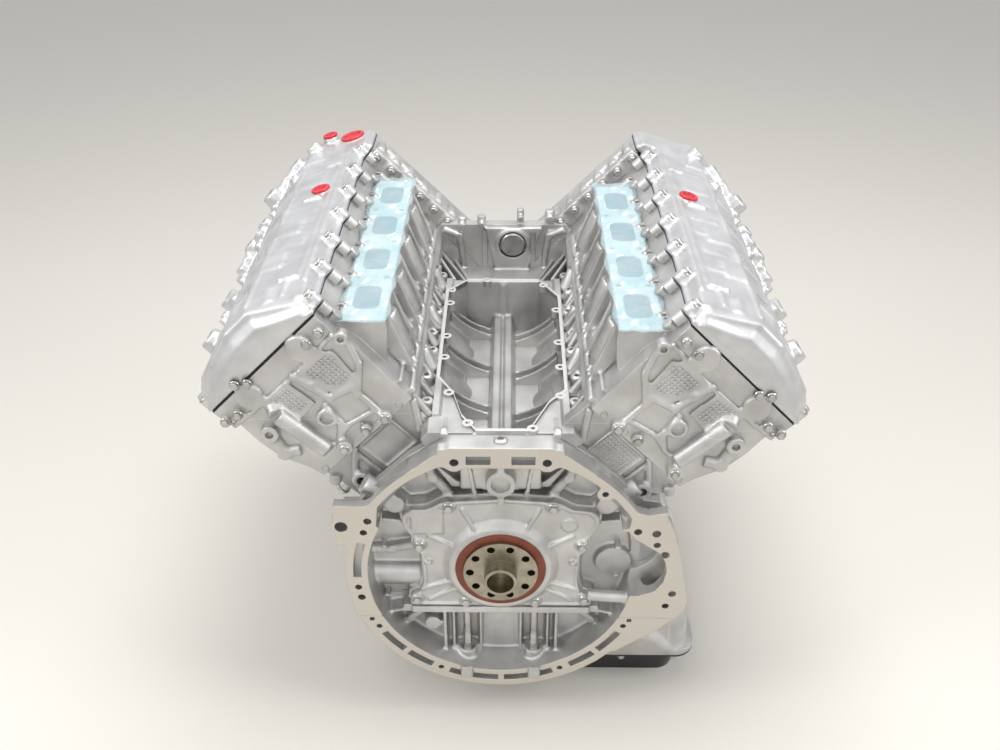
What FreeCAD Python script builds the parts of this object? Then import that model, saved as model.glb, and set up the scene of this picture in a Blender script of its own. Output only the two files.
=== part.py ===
import FreeCAD, Part
import math
import os

# Complete V8 engine, long block, in millimetres.
# +Z is up, the crankshaft lies along Y and +Y points at the timing end.
# The origin is on the crankshaft's axis, in the plane of the bellhousing's machined face.

# Cylinders and crank train
BORE = 94.0
STROKE = 102.0
BORE_PITCH = 105.5
BANK_ANGLE = 90.0
BANK_SHIFT = 19.0
FIRST_BORE_Y = 113.5
CYLINDERS_PER_BANK = 4
LINER_WALL = 2.5
ROD_LENGTH = 158.0
PISTON_CROWN = 31.0
PISTON_HEIGHT = 54.0
PISTON_CLEARANCE = 0.05
TOP_LAND = 4.0
RING_PITCH = 5.5
RING_WIDTH = 2.0
RING_DEPTH = 3.0
GUDGEON_RADIUS = 11.0
PIN_PHASES = (0.0, 90.0, 270.0, 180.0)
CRANK_REST = 100.0

# Crankshaft
MAIN_RADIUS = 32.0
CRANKPIN_RADIUS = 26.0
WEB_THICKNESS = 19.0
WEIGHT_RADIUS = 75.0
FLANGE_RADIUS = 47.5
FLANGE_FACE = 7.0
FLANGE_HOLES = 10
FLANGE_HOLE_CIRCLE = 78.0
FLANGE_HOLE_RADIUS = 5.0
FLANGE_HOLE_DEPTH = 20.0
NOSE_RADIUS = 21.0
NOSE_END = -12.0
PILOT_RADIUS = 17.0
PILOT_DEPTH = 30.0
SNOUT_RADIUS = 16.5
SNOUT_LENGTH = 26.0
PULLEY_SEAT_RADIUS = 16.0
PULLEY_SEAT_LENGTH = 17.0

# Bearings
SHELL_WALL = 2.5
RUNNING_CLEARANCE = 0.05
BULKHEAD = 22.0
CAP_WIDTH = 140.0
CAP_DROP = 56.0
CAP_BOLT_RADIUS = 6.0
CAP_BOLT_SPACING = 104.0
CAP_BOLT_GRIP = 40.0

# Cylinder block
DECK = 240.0
BANK_OUTBOARD = 72.0
BANK_INBOARD = 90.0
SKIRT = 150.0
PAN_LINE = -70.0
REAR_WALL = 30.0
BANK_REAR = 46.0
BLOCK_FRONT = 560.0
CRANK_ROOM = 84.0
JACKET_RADIUS = 56.0
CORE_PLUG_RADIUS = 17.0

# Bellhousing
BELL_OUTER = 196.0
BELL_INNER = 170.0
BELL_TOP = 199.0
BELL_TOP_HOLES = 55.0
BELL_TOP_HOLE_Z = 178.0
BELL_HOLE_RADIUS = 5.5

# Valley tray
VALLEY_RIM = 203.6
VALLEY_FLOOR = 124.0
VALLEY_RIM_WIDTH = 9.0
VALLEY_BOLT_RADIUS = 3.3

# Heads, cam housings and cam covers
GASKET = 0.8
HEAD_TOP = 365.0
HEAD_REAR = 32.0
COVER_LINE = 395.0
COVER_GASKET = 1.6
COVER_TOP = 452.0
COVER_HALF_WIDTH = 94.0
COVER_WALL = 4.0
COVER_NECK = 5.0
HOUSING_WALL = 7.0
INTAKE_FLANGE_REAR = 57.0
INTAKE_FLANGE_FRONT = 484.0
INTAKE_PORT_WIDTH = 27.0
INTAKE_PORT_LENGTH = 62.0
INTAKE_PORT_DEPTH = 45.0
INTAKE_GASKET = 1.2
INTAKE_GASKET_WIDTH = 52.0
INTAKE_FILM = 0.5
EXHAUST_PORT_RADIUS = 19.0

# Camshafts and chain drive
CAM_LINE = 380.0
INTAKE_CAM = -50.0
EXHAUST_CAM = 44.0
CAM_JOURNAL = 13.0
CAM_SHAFT = 10.0
CAM_BASE = 17.0
CAM_LIFT = 9.0
CAM_NOSE = 6.0
LOBE_WIDTH = 14.0
LOBE_SPACING = 38.0
CAM_BRIDGE = 16.0
CHAIN_WIDTH = 9.0
CHAIN_DEPTH = 4.0
CHAIN_CLEARANCE = 0.6
TOOTH_ROOT = 2.4
TOOTH_TIP = 1.5
TOOTH_WIDTH = 6.0
GUIDE_CLEARANCE = 0.3
GUIDE_DEPTH = 7.0
CRANK_SPROCKET = 23.0
CAM_SPROCKET = 46.0
LINK_SPROCKET = 32.0
REAR_CHAIN_Y = 577.0
FRONT_CHAIN_Y = 591.0

# Timing cover
TIMING_DEPTH = 60.0
TIMING_WALL = 6.0
TIMING_INBOARD = 112.0
FRONT_SEAL_RADIUS = 30.0

# Rear seal and its retainer
SEAL_RADIUS = 57.5
SEAL_FACE = 12.0
SEAL_DEPTH = 10.0
RETAINER_FACE = 22.0
RETAINER_BOSS = 67.0

# Oil pans
PAN_WALL = 6.0
PAN_FLANGE = 12.0
PAN_BOTTOM = -198.0
PAN_RIGHT = 272.0
PAN_REAR = 58.0
PAN_FRONT = 430.0
SUMP_BOTTOM = -247.0
SUMP_WALL = 2.5
SUMP_FLANGE = 3.0

# Fasteners, by the width of their heads across the flats
SMALL_BOLT = 10.0
SMALL_BOLT_HEAD = 6.0
CAP_BOLT_HEAD = 18.0
COVER_BOSS = 8.0
COVER_BOSS_TOP = 412.0
COVER_BOLT_PITCH = 80.0
COVER_BOLTS = 7

# Caps, plugs and pipes
RED_CAP_LIP = 3.0
RED_CAP_HEIGHT = 4.0
PIPE_RADIUS = 9.0
PIPE_BORE = 6.0
REAR_PLUG_RADIUS = 14.0
REAR_PLUG_Z = 128.0
FRONT_PLUG_RADIUS = 22.0

# Side, place across the bank, place along it and radius of each capped port
CAP_PLACES = (("left", -18.0, 540.0, 19.0), ("left", 24.0, 556.0, 13.0), ("left", -24.0, 330.0, 11.0),
              ("right", -24.0, 330.0, 11.0))

V = FreeCAD.Vector
SIDES = ("right", "left")


def box(x, y, z):
    """Box between three (low, high) spans."""
    return Part.makeBox(x[1] - x[0], y[1] - y[0], z[1] - z[0], V(x[0], y[0], z[0]))


def bar(radius, start, end):
    """Round bar from one point to another."""
    start = V(*start)
    run = V(*end) - start
    return Part.makeCylinder(radius, run.Length, start, run)


def slab_y(points, y):
    """Outline in X and Z, pushed along Y."""
    wire = Part.makePolygon([V(x, y[0], z) for x, z in points + points[:1]])
    return Part.Face(wire).extrude(V(0, y[1] - y[0], 0))


def slab_z(points, z):
    """Outline in X and Y, pushed along Z."""
    wire = Part.makePolygon([V(x, y, z[0]) for x, y in points + points[:1]])
    return Part.Face(wire).extrude(V(0, 0, z[1] - z[0]))


def hex_head(across, height, base, direction):
    """Six-sided bolt head that stands on a base point."""
    radius = across / math.sqrt(3)
    corners = [(radius * math.cos(math.radians(60 * i)), radius * math.sin(math.radians(60 * i))) for i in range(6)]
    head = slab_z(corners, (0, height))
    head.Placement = FreeCAD.Placement(V(*base), FreeCAD.Rotation(V(0, 0, 1), V(*direction)))
    return head


def join(first, *others):
    return first.fuse(list(others)).removeSplitter()


def minus(body, *tools):
    return body.cut(list(tools))


def round_rectangle(x, y, z, radius):
    """Closed wire of a rectangle with round corners, lying at height z."""
    sheet = Part.makeBox(x[1] - x[0], y[1] - y[0], 1.0, V(x[0], y[0], z))
    upright = [e for e in sheet.Edges if abs(e.tangentAt(e.FirstParameter).z) > 0.9]
    rounded = sheet.makeFillet(radius, upright)
    lowest = min(rounded.Faces, key=lambda face: face.CenterOfMass.z)
    return lowest.OuterWire


def taper(low, high):
    """Solid between two flat wires."""
    return Part.makeLoft([low, high], True, True)


def bank(shape, side):
    """Lean a piece drawn about an upright bore line into one cylinder bank."""
    placed = shape.copy()
    placed.rotate(V(0, 0, 0), V(0, 1, 0), BANK_ANGLE / 2)
    if side == "left":
        placed = placed.mirror(V(0, 0, 0), V(1, 0, 0))
        placed.translate(V(0, BANK_SHIFT, 0))
    return placed


def bank_y(y, side):
    """Y in a bank's own drawing for a Y of the whole engine."""
    return y if side == "right" else y - BANK_SHIFT


def bore_ys():
    return [FIRST_BORE_Y + BORE_PITCH * i for i in range(CYLINDERS_PER_BANK)]


def crankpin_ys():
    return [y + BANK_SHIFT / 2 for y in bore_ys()]


def main_ys():
    first = crankpin_ys()[0] - BORE_PITCH / 2
    return [first + BORE_PITCH * i for i in range(CYLINDERS_PER_BANK + 1)]


def crank_angle(index):
    """Direction of a crankpin from straight up towards +X, in degrees."""
    return CRANK_REST + PIN_PHASES[index]


def piston_crown(index, side):
    """Height of a piston's crown along its bore line at rest."""
    lean = BANK_ANGLE / 2 if side == "right" else -BANK_ANGLE / 2
    swing = math.radians(crank_angle(index) - lean)
    throw = STROKE / 2
    pin = throw * math.cos(swing) + math.sqrt(ROD_LENGTH ** 2 - (throw * math.sin(swing)) ** 2)
    top = throw + ROD_LENGTH
    return DECK - top + pin


# ---------------------------------------------------------------- cylinder block

def bell_outline():
    """Upper bellhousing flange: a flat ridge on top, an ear at each side."""
    right = [(62, BELL_TOP), (112, 165), (152, 126), (178, 99), (198, 97), (214, 72),
             (226, 34), (231, -20), (232, -58), (222, PAN_LINE)]
    left = [(-184, PAN_LINE), (-194, -30), (-194, 20), (-190, 48), (-206, 62), (-209, 78),
            (-196, 92), (-178, 92), (-152, 126), (-112, 165), (-62, BELL_TOP)]
    return right + left


def bell_holes():
    """Centres of the bolt holes in the upper bellhousing flange."""
    top = [(-BELL_TOP_HOLES, BELL_TOP_HOLE_Z), (BELL_TOP_HOLES, BELL_TOP_HOLE_Z)]
    right = [(176, 74), (200, 70), (213, 36), (222, -28), (212, -54)]
    left = [(-196, 77), (-178, 74), (-183, -28)]
    return top + right + left


def valley_outline(inset):
    """Tray rim seen from above: square sides, clipped far corners, stepped near end."""
    side = 84 - inset
    far = 428 - inset
    near = 30 + inset
    return [(-side, 151), (-61, near + 82), (-48, near + 30), (-30, near), (34, near),
            (60, near + 62), (side, 122), (side, 372), (52, far), (-52, far), (-side, 388)]


def bores(radius, low, high):
    tools = []
    for side in SIDES:
        for y in bore_ys():
            tools.append(bank(bar(radius, (0, y, low), (0, y, high)), side))
    return tools


def crank_bays():
    """Room for the crankshaft between the main bearing bulkheads."""
    tools = []
    ys = main_ys()
    for rear, front in zip(ys[:-1], ys[1:]):
        span = (rear + BULKHEAD / 2, front - BULKHEAD / 2)
        tools.append(bar(CRANK_ROOM, (0, span[0], 0), (0, span[1], 0)))
        tools.append(box((-CRANK_ROOM, CRANK_ROOM), span, (PAN_LINE - 1, 0)))
    return tools


def valley_tool():
    """Tray pocket, less the cylinder walls that swell into it and the spine on its floor."""
    pocket = slab_z(valley_outline(VALLEY_RIM_WIDTH), (VALLEY_FLOOR, VALLEY_RIM + 1))
    walls = bores(JACKET_RADIUS, 40, DECK - 30)
    spine = slab_y([(-16, VALLEY_FLOOR - 1), (16, VALLEY_FLOOR - 1), (0, VALLEY_FLOOR + 34)], (30, 440))
    return pocket.cut(walls + [spine])


def block_ribs():
    """Gussets that climb from the valley to the front wall."""
    ribs = []
    for x, high in ((-70, 226), (-30, 232), (46, 232), (70, 226)):
        outline = [(428, 150), (BLOCK_FRONT - 10, 150), (BLOCK_FRONT - 10, high), (440, 196)]
        wire = Part.makePolygon([V(x - 4, y, z) for y, z in outline + outline[:1]])
        ribs.append(Part.Face(wire).extrude(V(8, 0, 0)))
    return ribs


def cylinder_block():
    half_case = [(SKIRT, PAN_LINE), (SKIRT, 22), (118, 82)]
    case = half_case + [(-x, z) for x, z in reversed(half_case)]
    body = slab_y(case, (REAR_WALL, BLOCK_FRONT))
    fill = [(-88, 200), (88, 200), (96, 190), (40, 60), (-40, 60), (-96, 190)]
    parts = [slab_y(fill, (REAR_WALL, 432)), slab_z(valley_outline(0), (190, VALLEY_RIM))]
    parts.append(slab_y([(-70, 160), (70, 160), (40, 60), (-40, 60)], (430, BLOCK_FRONT)))
    parts.append(slab_y([(-98, 240), (98, 240), (108, 230), (40, 90), (-40, 90), (-108, 230)],
                        (BLOCK_FRONT - 16, BLOCK_FRONT)))
    for side in SIDES:
        arm = box((-BANK_INBOARD, BANK_OUTBOARD), (BANK_REAR, bank_y(BLOCK_FRONT, side)), (50, DECK))
        parts.append(bank(arm, side))
    bell = slab_y(bell_outline(), (0, REAR_WALL + 14))
    parts.append(bell)
    body = join(body, *(parts + block_ribs()))
    tools = [bar(BELL_INNER, (0, -1, 0), (0, REAR_WALL, 0))]
    tools.append(bar(40, (162, -1, 26), (162, REAR_WALL + 40, 26)))
    tools.append(bar(SEAL_RADIUS + 3, (0, REAR_WALL - 1, 0), (0, main_ys()[0] - BULKHEAD / 2, 0)))
    tools.append(bar(MAIN_RADIUS + SHELL_WALL, (0, REAR_WALL, 0), (0, main_ys()[-1] + 12, 0)))
    tools.append(bar(38, (0, main_ys()[-1] + BULKHEAD / 2, 0), (0, BLOCK_FRONT + 1, 0)))
    seat = (-CAP_WIDTH / 2, CAP_WIDTH / 2)
    for y in main_ys():
        tools.append(box(seat, (y - BULKHEAD / 2 - 1, y + BULKHEAD / 2 + 1), (PAN_LINE - 1, 0)))
        for x in (-CAP_BOLT_SPACING / 2, CAP_BOLT_SPACING / 2):
            tools.append(bar(CAP_BOLT_RADIUS + 0.2, (x, y, -1), (x, y, CAP_BOLT_GRIP + 1)))
    for x, z in bell_holes():
        tools.append(bar(BELL_HOLE_RADIUS, (x, -1, z), (x, REAR_WALL + 20, z)))
    tools += bores(BORE / 2 + LINER_WALL, 80, DECK + 1)
    tools += crank_bays()
    tools.append(valley_tool())
    return minus(body, *tools)


def cylinder_liners():
    liners = []
    for side in SIDES:
        for y in bore_ys():
            tube = bar(BORE / 2 + LINER_WALL, (0, y, 84), (0, y, DECK))
            liners.append(bank(tube.cut(bar(BORE / 2, (0, y, 80), (0, y, DECK + 1))), side))
    return Part.makeCompound(liners)


def main_bearing_caps():
    caps = []
    half = CAP_WIDTH / 2 - 0.5
    outline = [(-half, 0), (-half, -30), (-half + 14, -CAP_DROP), (half - 14, -CAP_DROP), (half, -30), (half, 0)]
    for y in main_ys():
        cap = slab_y(outline, (y - BULKHEAD / 2, y + BULKHEAD / 2))
        tools = [bar(MAIN_RADIUS + SHELL_WALL, (0, y - 20, 0), (0, y + 20, 0))]
        for x in (-CAP_BOLT_SPACING / 2, CAP_BOLT_SPACING / 2):
            tools.append(bar(CAP_BOLT_RADIUS + 0.2, (x, y, -CAP_DROP - 1), (x, y, 1)))
        caps.append(minus(cap, *tools))
    return Part.makeCompound(caps)


def main_bearing_shells():
    shells = []
    for y in main_ys():
        span = (y - BULKHEAD / 2, y + BULKHEAD / 2)
        ring = bar(MAIN_RADIUS + SHELL_WALL, (0, span[0], 0), (0, span[1], 0))
        shells.append(ring.cut(bar(MAIN_RADIUS + RUNNING_CLEARANCE, (0, span[0] - 1, 0), (0, span[1] + 1, 0))))
    return Part.makeCompound(shells)


def main_cap_bolts():
    bolts = []
    for y in main_ys():
        for x in (-CAP_BOLT_SPACING / 2, CAP_BOLT_SPACING / 2):
            shank = bar(CAP_BOLT_RADIUS, (x, y, -CAP_DROP), (x, y, CAP_BOLT_GRIP))
            head = hex_head(CAP_BOLT_HEAD, 10, (x, y, -CAP_DROP), (0, 0, -1))
            bolts.append(join(shank, head))
    return Part.makeCompound(bolts)


# ---------------------------------------------------------------- crank train

def hull_of_circles(first, first_radius, second, second_radius, y):
    """Flat plate, pushed along Y, that wraps two circles given by X and Z."""
    across = V(second[0] - first[0], 0, second[1] - first[1])
    distance = across.Length
    lean = math.acos((first_radius - second_radius) / distance)
    heading = math.atan2(across.z, across.x)
    corners = []
    for centre, radius, sign in ((first, first_radius, 1), (second, second_radius, 1),
                                 (second, second_radius, -1), (first, first_radius, -1)):
        angle = heading + sign * lean
        corners.append((centre[0] + radius * math.cos(angle), centre[1] + radius * math.sin(angle)))
    web = slab_y(corners, y)
    discs = [bar(radius, (centre[0], y[0], centre[1]), (centre[0], y[1], centre[1]))
             for centre, radius in ((first, first_radius), (second, second_radius))]
    return join(web, *discs)


def crank_web(angle, y, weighted):
    """One crank cheek, with a counterweight opposite the crankpin where it carries one."""
    throw = STROKE / 2
    cheek = hull_of_circles((0, 0), MAIN_RADIUS + 4, (0, throw), CRANKPIN_RADIUS - 1, y)
    if weighted:
        weight = bar(WEIGHT_RADIUS, (0, y[0], 0), (0, y[1], 0))
        keep = slab_y([(-30, 10), (-78, -20), (-78, -80), (78, -80), (78, -20), (30, 10)], y)
        cheek = join(cheek, weight.common(keep))
    cheek.rotate(V(0, 0, 0), V(0, 1, 0), angle)
    return cheek


def crankshaft():
    throw = STROKE / 2
    mains = main_ys()
    pieces = []
    for i, (rear, front) in enumerate(zip(mains[:-1], mains[1:])):
        angle = crank_angle(i)
        spin = math.radians(angle)
        centre = (throw * math.sin(spin), throw * math.cos(spin))
        journal = BORE_PITCH - 2 * WEB_THICKNESS
        half_main = 12.0
        pieces.append(crank_web(angle, (rear + half_main, rear + half_main + WEB_THICKNESS), i in (0, 2, 3)))
        pieces.append(crank_web(angle, (front - half_main - WEB_THICKNESS, front - half_main), i in (0, 1, 3)))
        pieces.append(bar(CRANKPIN_RADIUS, (centre[0], rear + half_main + 5, centre[1]),
                          (centre[0], front - half_main - 5, centre[1])))
    for y in mains:
        pieces.append(bar(MAIN_RADIUS, (0, y - 13, 0), (0, y + 13, 0)))
    pieces.append(bar(FLANGE_RADIUS, (0, FLANGE_FACE, 0), (0, 46, 0)))
    pieces.append(bar(MAIN_RADIUS + 4, (0, 45, 0), (0, mains[0] - 12, 0)))
    pieces.append(bar(NOSE_RADIUS, (0, NOSE_END, 0), (0, FLANGE_FACE + 1, 0)))
    pieces.append(bar(MAIN_RADIUS - 2, (0, mains[-1] + 12, 0), (0, REAR_CHAIN_Y - 8, 0)))
    snout_end = BLOCK_FRONT + TIMING_DEPTH + SNOUT_LENGTH
    pieces.append(bar(SNOUT_RADIUS, (0, REAR_CHAIN_Y - 9, 0), (0, snout_end - PULLEY_SEAT_LENGTH, 0)))
    pieces.append(bar(PULLEY_SEAT_RADIUS, (0, snout_end - PULLEY_SEAT_LENGTH - 1, 0), (0, snout_end, 0)))
    body = join(*pieces)
    tools = [bar(PILOT_RADIUS, (0, NOSE_END - 1, 0), (0, NOSE_END + PILOT_DEPTH, 0))]
    for i in range(FLANGE_HOLES):
        turn = 2 * math.pi * i / FLANGE_HOLES
        x = FLANGE_HOLE_CIRCLE / 2 * math.cos(turn)
        z = FLANGE_HOLE_CIRCLE / 2 * math.sin(turn)
        tools.append(bar(FLANGE_HOLE_RADIUS, (x, FLANGE_FACE - 1, z), (x, FLANGE_FACE + FLANGE_HOLE_DEPTH, z)))
    return minus(body, *tools)


def piston(index, side):
    """Crown, skirt and gudgeon pin of one cylinder."""
    y = bore_ys()[index]
    crown = piston_crown(index, side)
    low = crown - PISTON_HEIGHT
    radius = BORE / 2 - PISTON_CLEARANCE
    body = bar(radius, (0, y, low), (0, y, crown))
    hollow = bar(radius - 6, (0, y, low - 1), (0, y, crown - 14))
    cheeks = [box((-60, 60), (y + s * 34 - 14, y + s * 34 + 14), (low - 1, crown - 26)) for s in (-1, 1)]
    bosses = [box((-15, 15), (y + s * 26 - 9, y + s * 26 + 9), (crown - PISTON_CROWN - 15, crown - 10))
              for s in (-1, 1)]
    grooves = []
    for i in range(3):
        top = crown - TOP_LAND - i * RING_PITCH
        groove = bar(radius + 1, (0, y, top - RING_WIDTH), (0, y, top))
        grooves.append(groove.cut(bar(radius - RING_DEPTH, (0, y, top - 4), (0, y, top + 1))))
    body = join(minus(body, hollow, *(cheeks + grooves)), *bosses)
    pin_z = crown - PISTON_CROWN
    body = minus(body, bar(GUDGEON_RADIUS, (0, y - 60, pin_z), (0, y + 60, pin_z)))
    pin = bar(GUDGEON_RADIUS, (0, y - 34, pin_z), (0, y + 34, pin_z))
    return bank(Part.makeCompound([body, pin]), side)


# ---------------------------------------------------------------- rear seal

def rear_seal_retainer():
    half = [(0, 92), (76, 92), (84, 84), (96, 62), (122, 66), (128, 58), (128, -66), (120, PAN_LINE), (0, PAN_LINE)]
    outline = half + [(-x, z) for x, z in reversed(half[1:-1])]
    plate = slab_y(outline, (RETAINER_FACE, REAR_WALL))
    boss = bar(RETAINER_BOSS, (0, SEAL_FACE + 1, 0), (0, RETAINER_FACE + 1, 0))
    ribs = []
    for angle in (28, 62, 118, 152, 205, 335):
        rib = box((RETAINER_BOSS - 3, 104), (RETAINER_FACE - 5, RETAINER_FACE + 1), (-2.5, 2.5))
        rib.rotate(V(0, 0, 0), V(0, 1, 0), -angle)
        ribs.append(rib)
    keep = slab_y(outline, (0, REAR_WALL))
    body = join(plate, *[piece.common(keep) for piece in [boss] + ribs])
    return minus(body, bar(SEAL_RADIUS, (0, 0, 0), (0, SEAL_FACE + SEAL_DEPTH, 0)),
                 bar(FLANGE_RADIUS + 2, (0, 0, 0), (0, REAR_WALL + 1, 0)))


def retainer_bolt_points():
    right = [(66, 84), (112, 56), (118, 16), (118, -52), (64, -62)]
    return right + [(-x, z) for x, z in right]


def retainer_bolts():
    bolts = []
    for x, z in retainer_bolt_points():
        bolts.append(hex_head(SMALL_BOLT, SMALL_BOLT_HEAD, (x, RETAINER_FACE, z), (0, -1, 0)))
    return Part.makeCompound(bolts)


def rear_main_seal():
    ring = bar(SEAL_RADIUS, (0, SEAL_FACE, 0), (0, SEAL_FACE + SEAL_DEPTH, 0))
    return ring.cut(bar(FLANGE_RADIUS + RUNNING_CLEARANCE, (0, 0, 0), (0, 60, 0)))


# ---------------------------------------------------------------- oil pans

def lower_bell():
    """Lower half of the bellhousing ring, cast with the upper pan."""
    ring = bar(BELL_OUTER, (0, 0, 0), (0, 34, 0))
    ear = slab_y([(150, PAN_LINE), (222, PAN_LINE), (196, -104), (150, -130)], (0, 26))
    body = join(ring, ear)
    below = box((-300, 300), (-10, 60), (-300, PAN_LINE))
    pocket = bar(BELL_INNER, (0, -1, 0), (0, 28, 0))
    return body.common(below).cut(pocket)


def bell_windows():
    """Lightening slots in the lower bellhousing ring, each swept along the ring."""
    tools = []
    mid = (BELL_OUTER + BELL_INNER) / 2
    for start, end in ((-64, -52), (-84, -68), (-112, -96), (-128, -116), (-146, -134)):
        ring = bar(mid + 6, (0, -1, 0), (0, 22, 0)).cut(bar(mid - 5, (0, -2, 0), (0, 23, 0)))
        a = math.radians(start)
        b = math.radians(end)
        far = 400.0
        wedge = slab_y([(0, 0), (far * math.cos(a), far * math.sin(a)), (far * math.cos(b), far * math.sin(b))],
                       (-1, 22))
        tools.append(ring.common(wedge))
    return tools


def upper_oil_pan():
    top = PAN_LINE - PAN_FLANGE
    flange = box((-SKIRT, SKIRT), (28, BLOCK_FRONT), (top, PAN_LINE))
    floor_flange = taper(round_rectangle((-SKIRT, PAN_RIGHT), (PAN_REAR, PAN_FRONT), PAN_BOTTOM, 28),
                         round_rectangle((-SKIRT, PAN_RIGHT), (PAN_REAR, PAN_FRONT), PAN_BOTTOM + 8, 28))
    outer = taper(round_rectangle((-SKIRT + 6, PAN_RIGHT - 8), (PAN_REAR, PAN_FRONT - 8), PAN_BOTTOM, 24),
                  round_rectangle((-SKIRT + 6, SKIRT), (34, BLOCK_FRONT - 8), top, 24))
    side = taper(round_rectangle((60, PAN_RIGHT - 8), (PAN_REAR + 2, PAN_FRONT - 60), PAN_BOTTOM, 30),
                 round_rectangle((60, PAN_RIGHT - 14), (PAN_REAR + 2, PAN_FRONT - 120), PAN_LINE - 48, 30))
    inner = taper(round_rectangle((-SKIRT + 14, PAN_RIGHT - 18), (PAN_REAR + 10, PAN_FRONT - 18), PAN_BOTTOM - 1, 20),
                  round_rectangle((-SKIRT + 20, SKIRT - 14), (48, BLOCK_FRONT - 20), top, 20))
    mouth = box((-SKIRT + 20, SKIRT - 20), (48, BLOCK_FRONT - 20), (top - 1, PAN_LINE + 1))
    bell = lower_bell()
    for x in (-45, 45):
        bell = bell.fuse(bar(13, (x, 8, -178), (x, 8, -158)))
    body = join(flange, floor_flange, outer, side, bell)
    return minus(body, inner, mouth, *bell_windows())


def bell_studs():
    """Two long bolts that stand in the lower bellhousing."""
    studs = []
    for x in (-45, 45):
        shank = bar(5.5, (x, 8, -158), (x, 8, -82))
        nut = bar(10, (x, 8, -166 + 8), (x, 8, -148))
        studs.append(join(shank, nut))
    return Part.makeCompound(studs)


def oil_sump():
    flange = taper(round_rectangle((-SKIRT, PAN_RIGHT), (PAN_REAR, PAN_FRONT), PAN_BOTTOM - SUMP_FLANGE, 28),
                   round_rectangle((-SKIRT, PAN_RIGHT), (PAN_REAR, PAN_FRONT), PAN_BOTTOM, 28))
    low = PAN_BOTTOM - SUMP_FLANGE
    inset = SUMP_WALL
    outer = taper(round_rectangle((-SKIRT + 22, PAN_RIGHT - 24), (PAN_REAR + 22, PAN_FRONT - 22), SUMP_BOTTOM, 26),
                  round_rectangle((-SKIRT + 12, PAN_RIGHT - 12), (PAN_REAR + 12, PAN_FRONT - 12), low, 30))
    inner = taper(round_rectangle((-SKIRT + 22 + inset, PAN_RIGHT - 24 - inset),
                                  (PAN_REAR + 22 + inset, PAN_FRONT - 22 - inset), SUMP_BOTTOM + inset, 24),
                  round_rectangle((-SKIRT + 12 + inset, PAN_RIGHT - 12 - inset),
                                  (PAN_REAR + 12 + inset, PAN_FRONT - 12 - inset), PAN_BOTTOM + 1, 28))
    return minus(join(flange, outer), inner)


def sump_bolts():
    bolts = []
    low = PAN_BOTTOM - SUMP_FLANGE
    xs = [-SKIRT + 30 + i * (PAN_RIGHT + SKIRT - 60) / 5 for i in range(6)]
    ys = [PAN_REAR + 40 + i * (PAN_FRONT - PAN_REAR - 80) / 4 for i in range(5)]
    points = [(x, y) for x in xs for y in (PAN_REAR + 5.5, PAN_FRONT - 5.5)]
    points += [(x, y) for y in ys for x in (-SKIRT + 5.5, PAN_RIGHT - 5.5)]
    for x, y in points:
        bolts.append(hex_head(SMALL_BOLT, SMALL_BOLT_HEAD, (x, y, low), (0, 0, -1)))
    return Part.makeCompound(bolts)


# ---------------------------------------------------------------- heads

def head_gasket(side):
    front = bank_y(BLOCK_FRONT, side)
    plate = box((-BANK_INBOARD + 2, BANK_OUTBOARD - 2), (BANK_REAR, front), (DECK, DECK + GASKET))
    holes = [bar(BORE / 2 + 0.6, (0, y, DECK - 1), (0, y, DECK + 2)) for y in bore_ys()]
    return bank(minus(plate, *holes), side)


def cam_sweeps(length, side, margin):
    """Room that both camshafts turn in."""
    reach = CAM_BASE + CAM_LIFT + margin
    return [bar(reach, (x, length[0], CAM_LINE), (x, length[1], CAM_LINE)) for x in (INTAKE_CAM, EXHAUST_CAM)]


def intake_flange_points():
    """Upper and lower edge of the intake face, in the bank's own X and Z."""
    return (-97.0, HEAD_TOP), (-135.5, HEAD_TOP - 38.5)


def intake_frame(y, along, across, depth, thick):
    """Box square to the intake face: its centre is on the face, thick spans its normal."""
    upper, lower = intake_flange_points()
    centre = V((upper[0] + lower[0]) / 2, y, (upper[1] + lower[1]) / 2)
    block = Part.makeBox(across, along, thick, V(-across / 2, -along / 2, depth))
    block.rotate(V(0, 0, 0), V(0, 1, 0), -45)
    block.translate(centre)
    return block


def intake_ports(side, depth, thick, grow):
    ports = []
    for y in bore_ys():
        port = intake_frame(y, INTAKE_PORT_LENGTH + grow, INTAKE_PORT_WIDTH + grow, depth, thick)
        axis_edges = [e for e in port.Edges if abs(e.tangentAt(e.FirstParameter).y) < 0.1
                      and e.Length > max(thick - 0.01, 0) and abs(e.Length - thick) < 0.01]
        ports.append(port.makeFillet((INTAKE_PORT_WIDTH + grow) / 2 - 0.6, axis_edges))
    return ports


def head(side):
    front = bank_y(BLOCK_FRONT, side)
    outline = [(-93, HEAD_TOP), (-97, 330), (-90, DECK + GASKET), (70, DECK + GASKET), (74, 262), (87, 296),
               (88, 330), (84, HEAD_TOP)]
    body = slab_y(outline, (HEAD_REAR, front))
    upper, lower = intake_flange_points()
    wedge = slab_y([upper, lower, (-127, 316), (-94, 288), (-80, 300), (-80, HEAD_TOP)],
                   (INTAKE_FLANGE_REAR, INTAKE_FLANGE_FRONT))
    pads = [bar(27, (60, y, 292), (98, y, 282)) for y in bore_ys()]
    body = join(body, wedge, *pads)
    tools = intake_ports(side, -INTAKE_PORT_DEPTH, INTAKE_PORT_DEPTH + 10, 0)
    tools += [bar(EXHAUST_PORT_RADIUS, (56, y, 293), (112, y, 278.5)) for y in bore_ys()]
    tools += [bar(BORE / 2 - 3, (0, y, DECK), (0, y, DECK + 9)) for y in bore_ys()]
    tools += cam_sweeps((HEAD_REAR + 10, front - 8), side, 4)
    return bank(minus(body, *tools), side)


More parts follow.
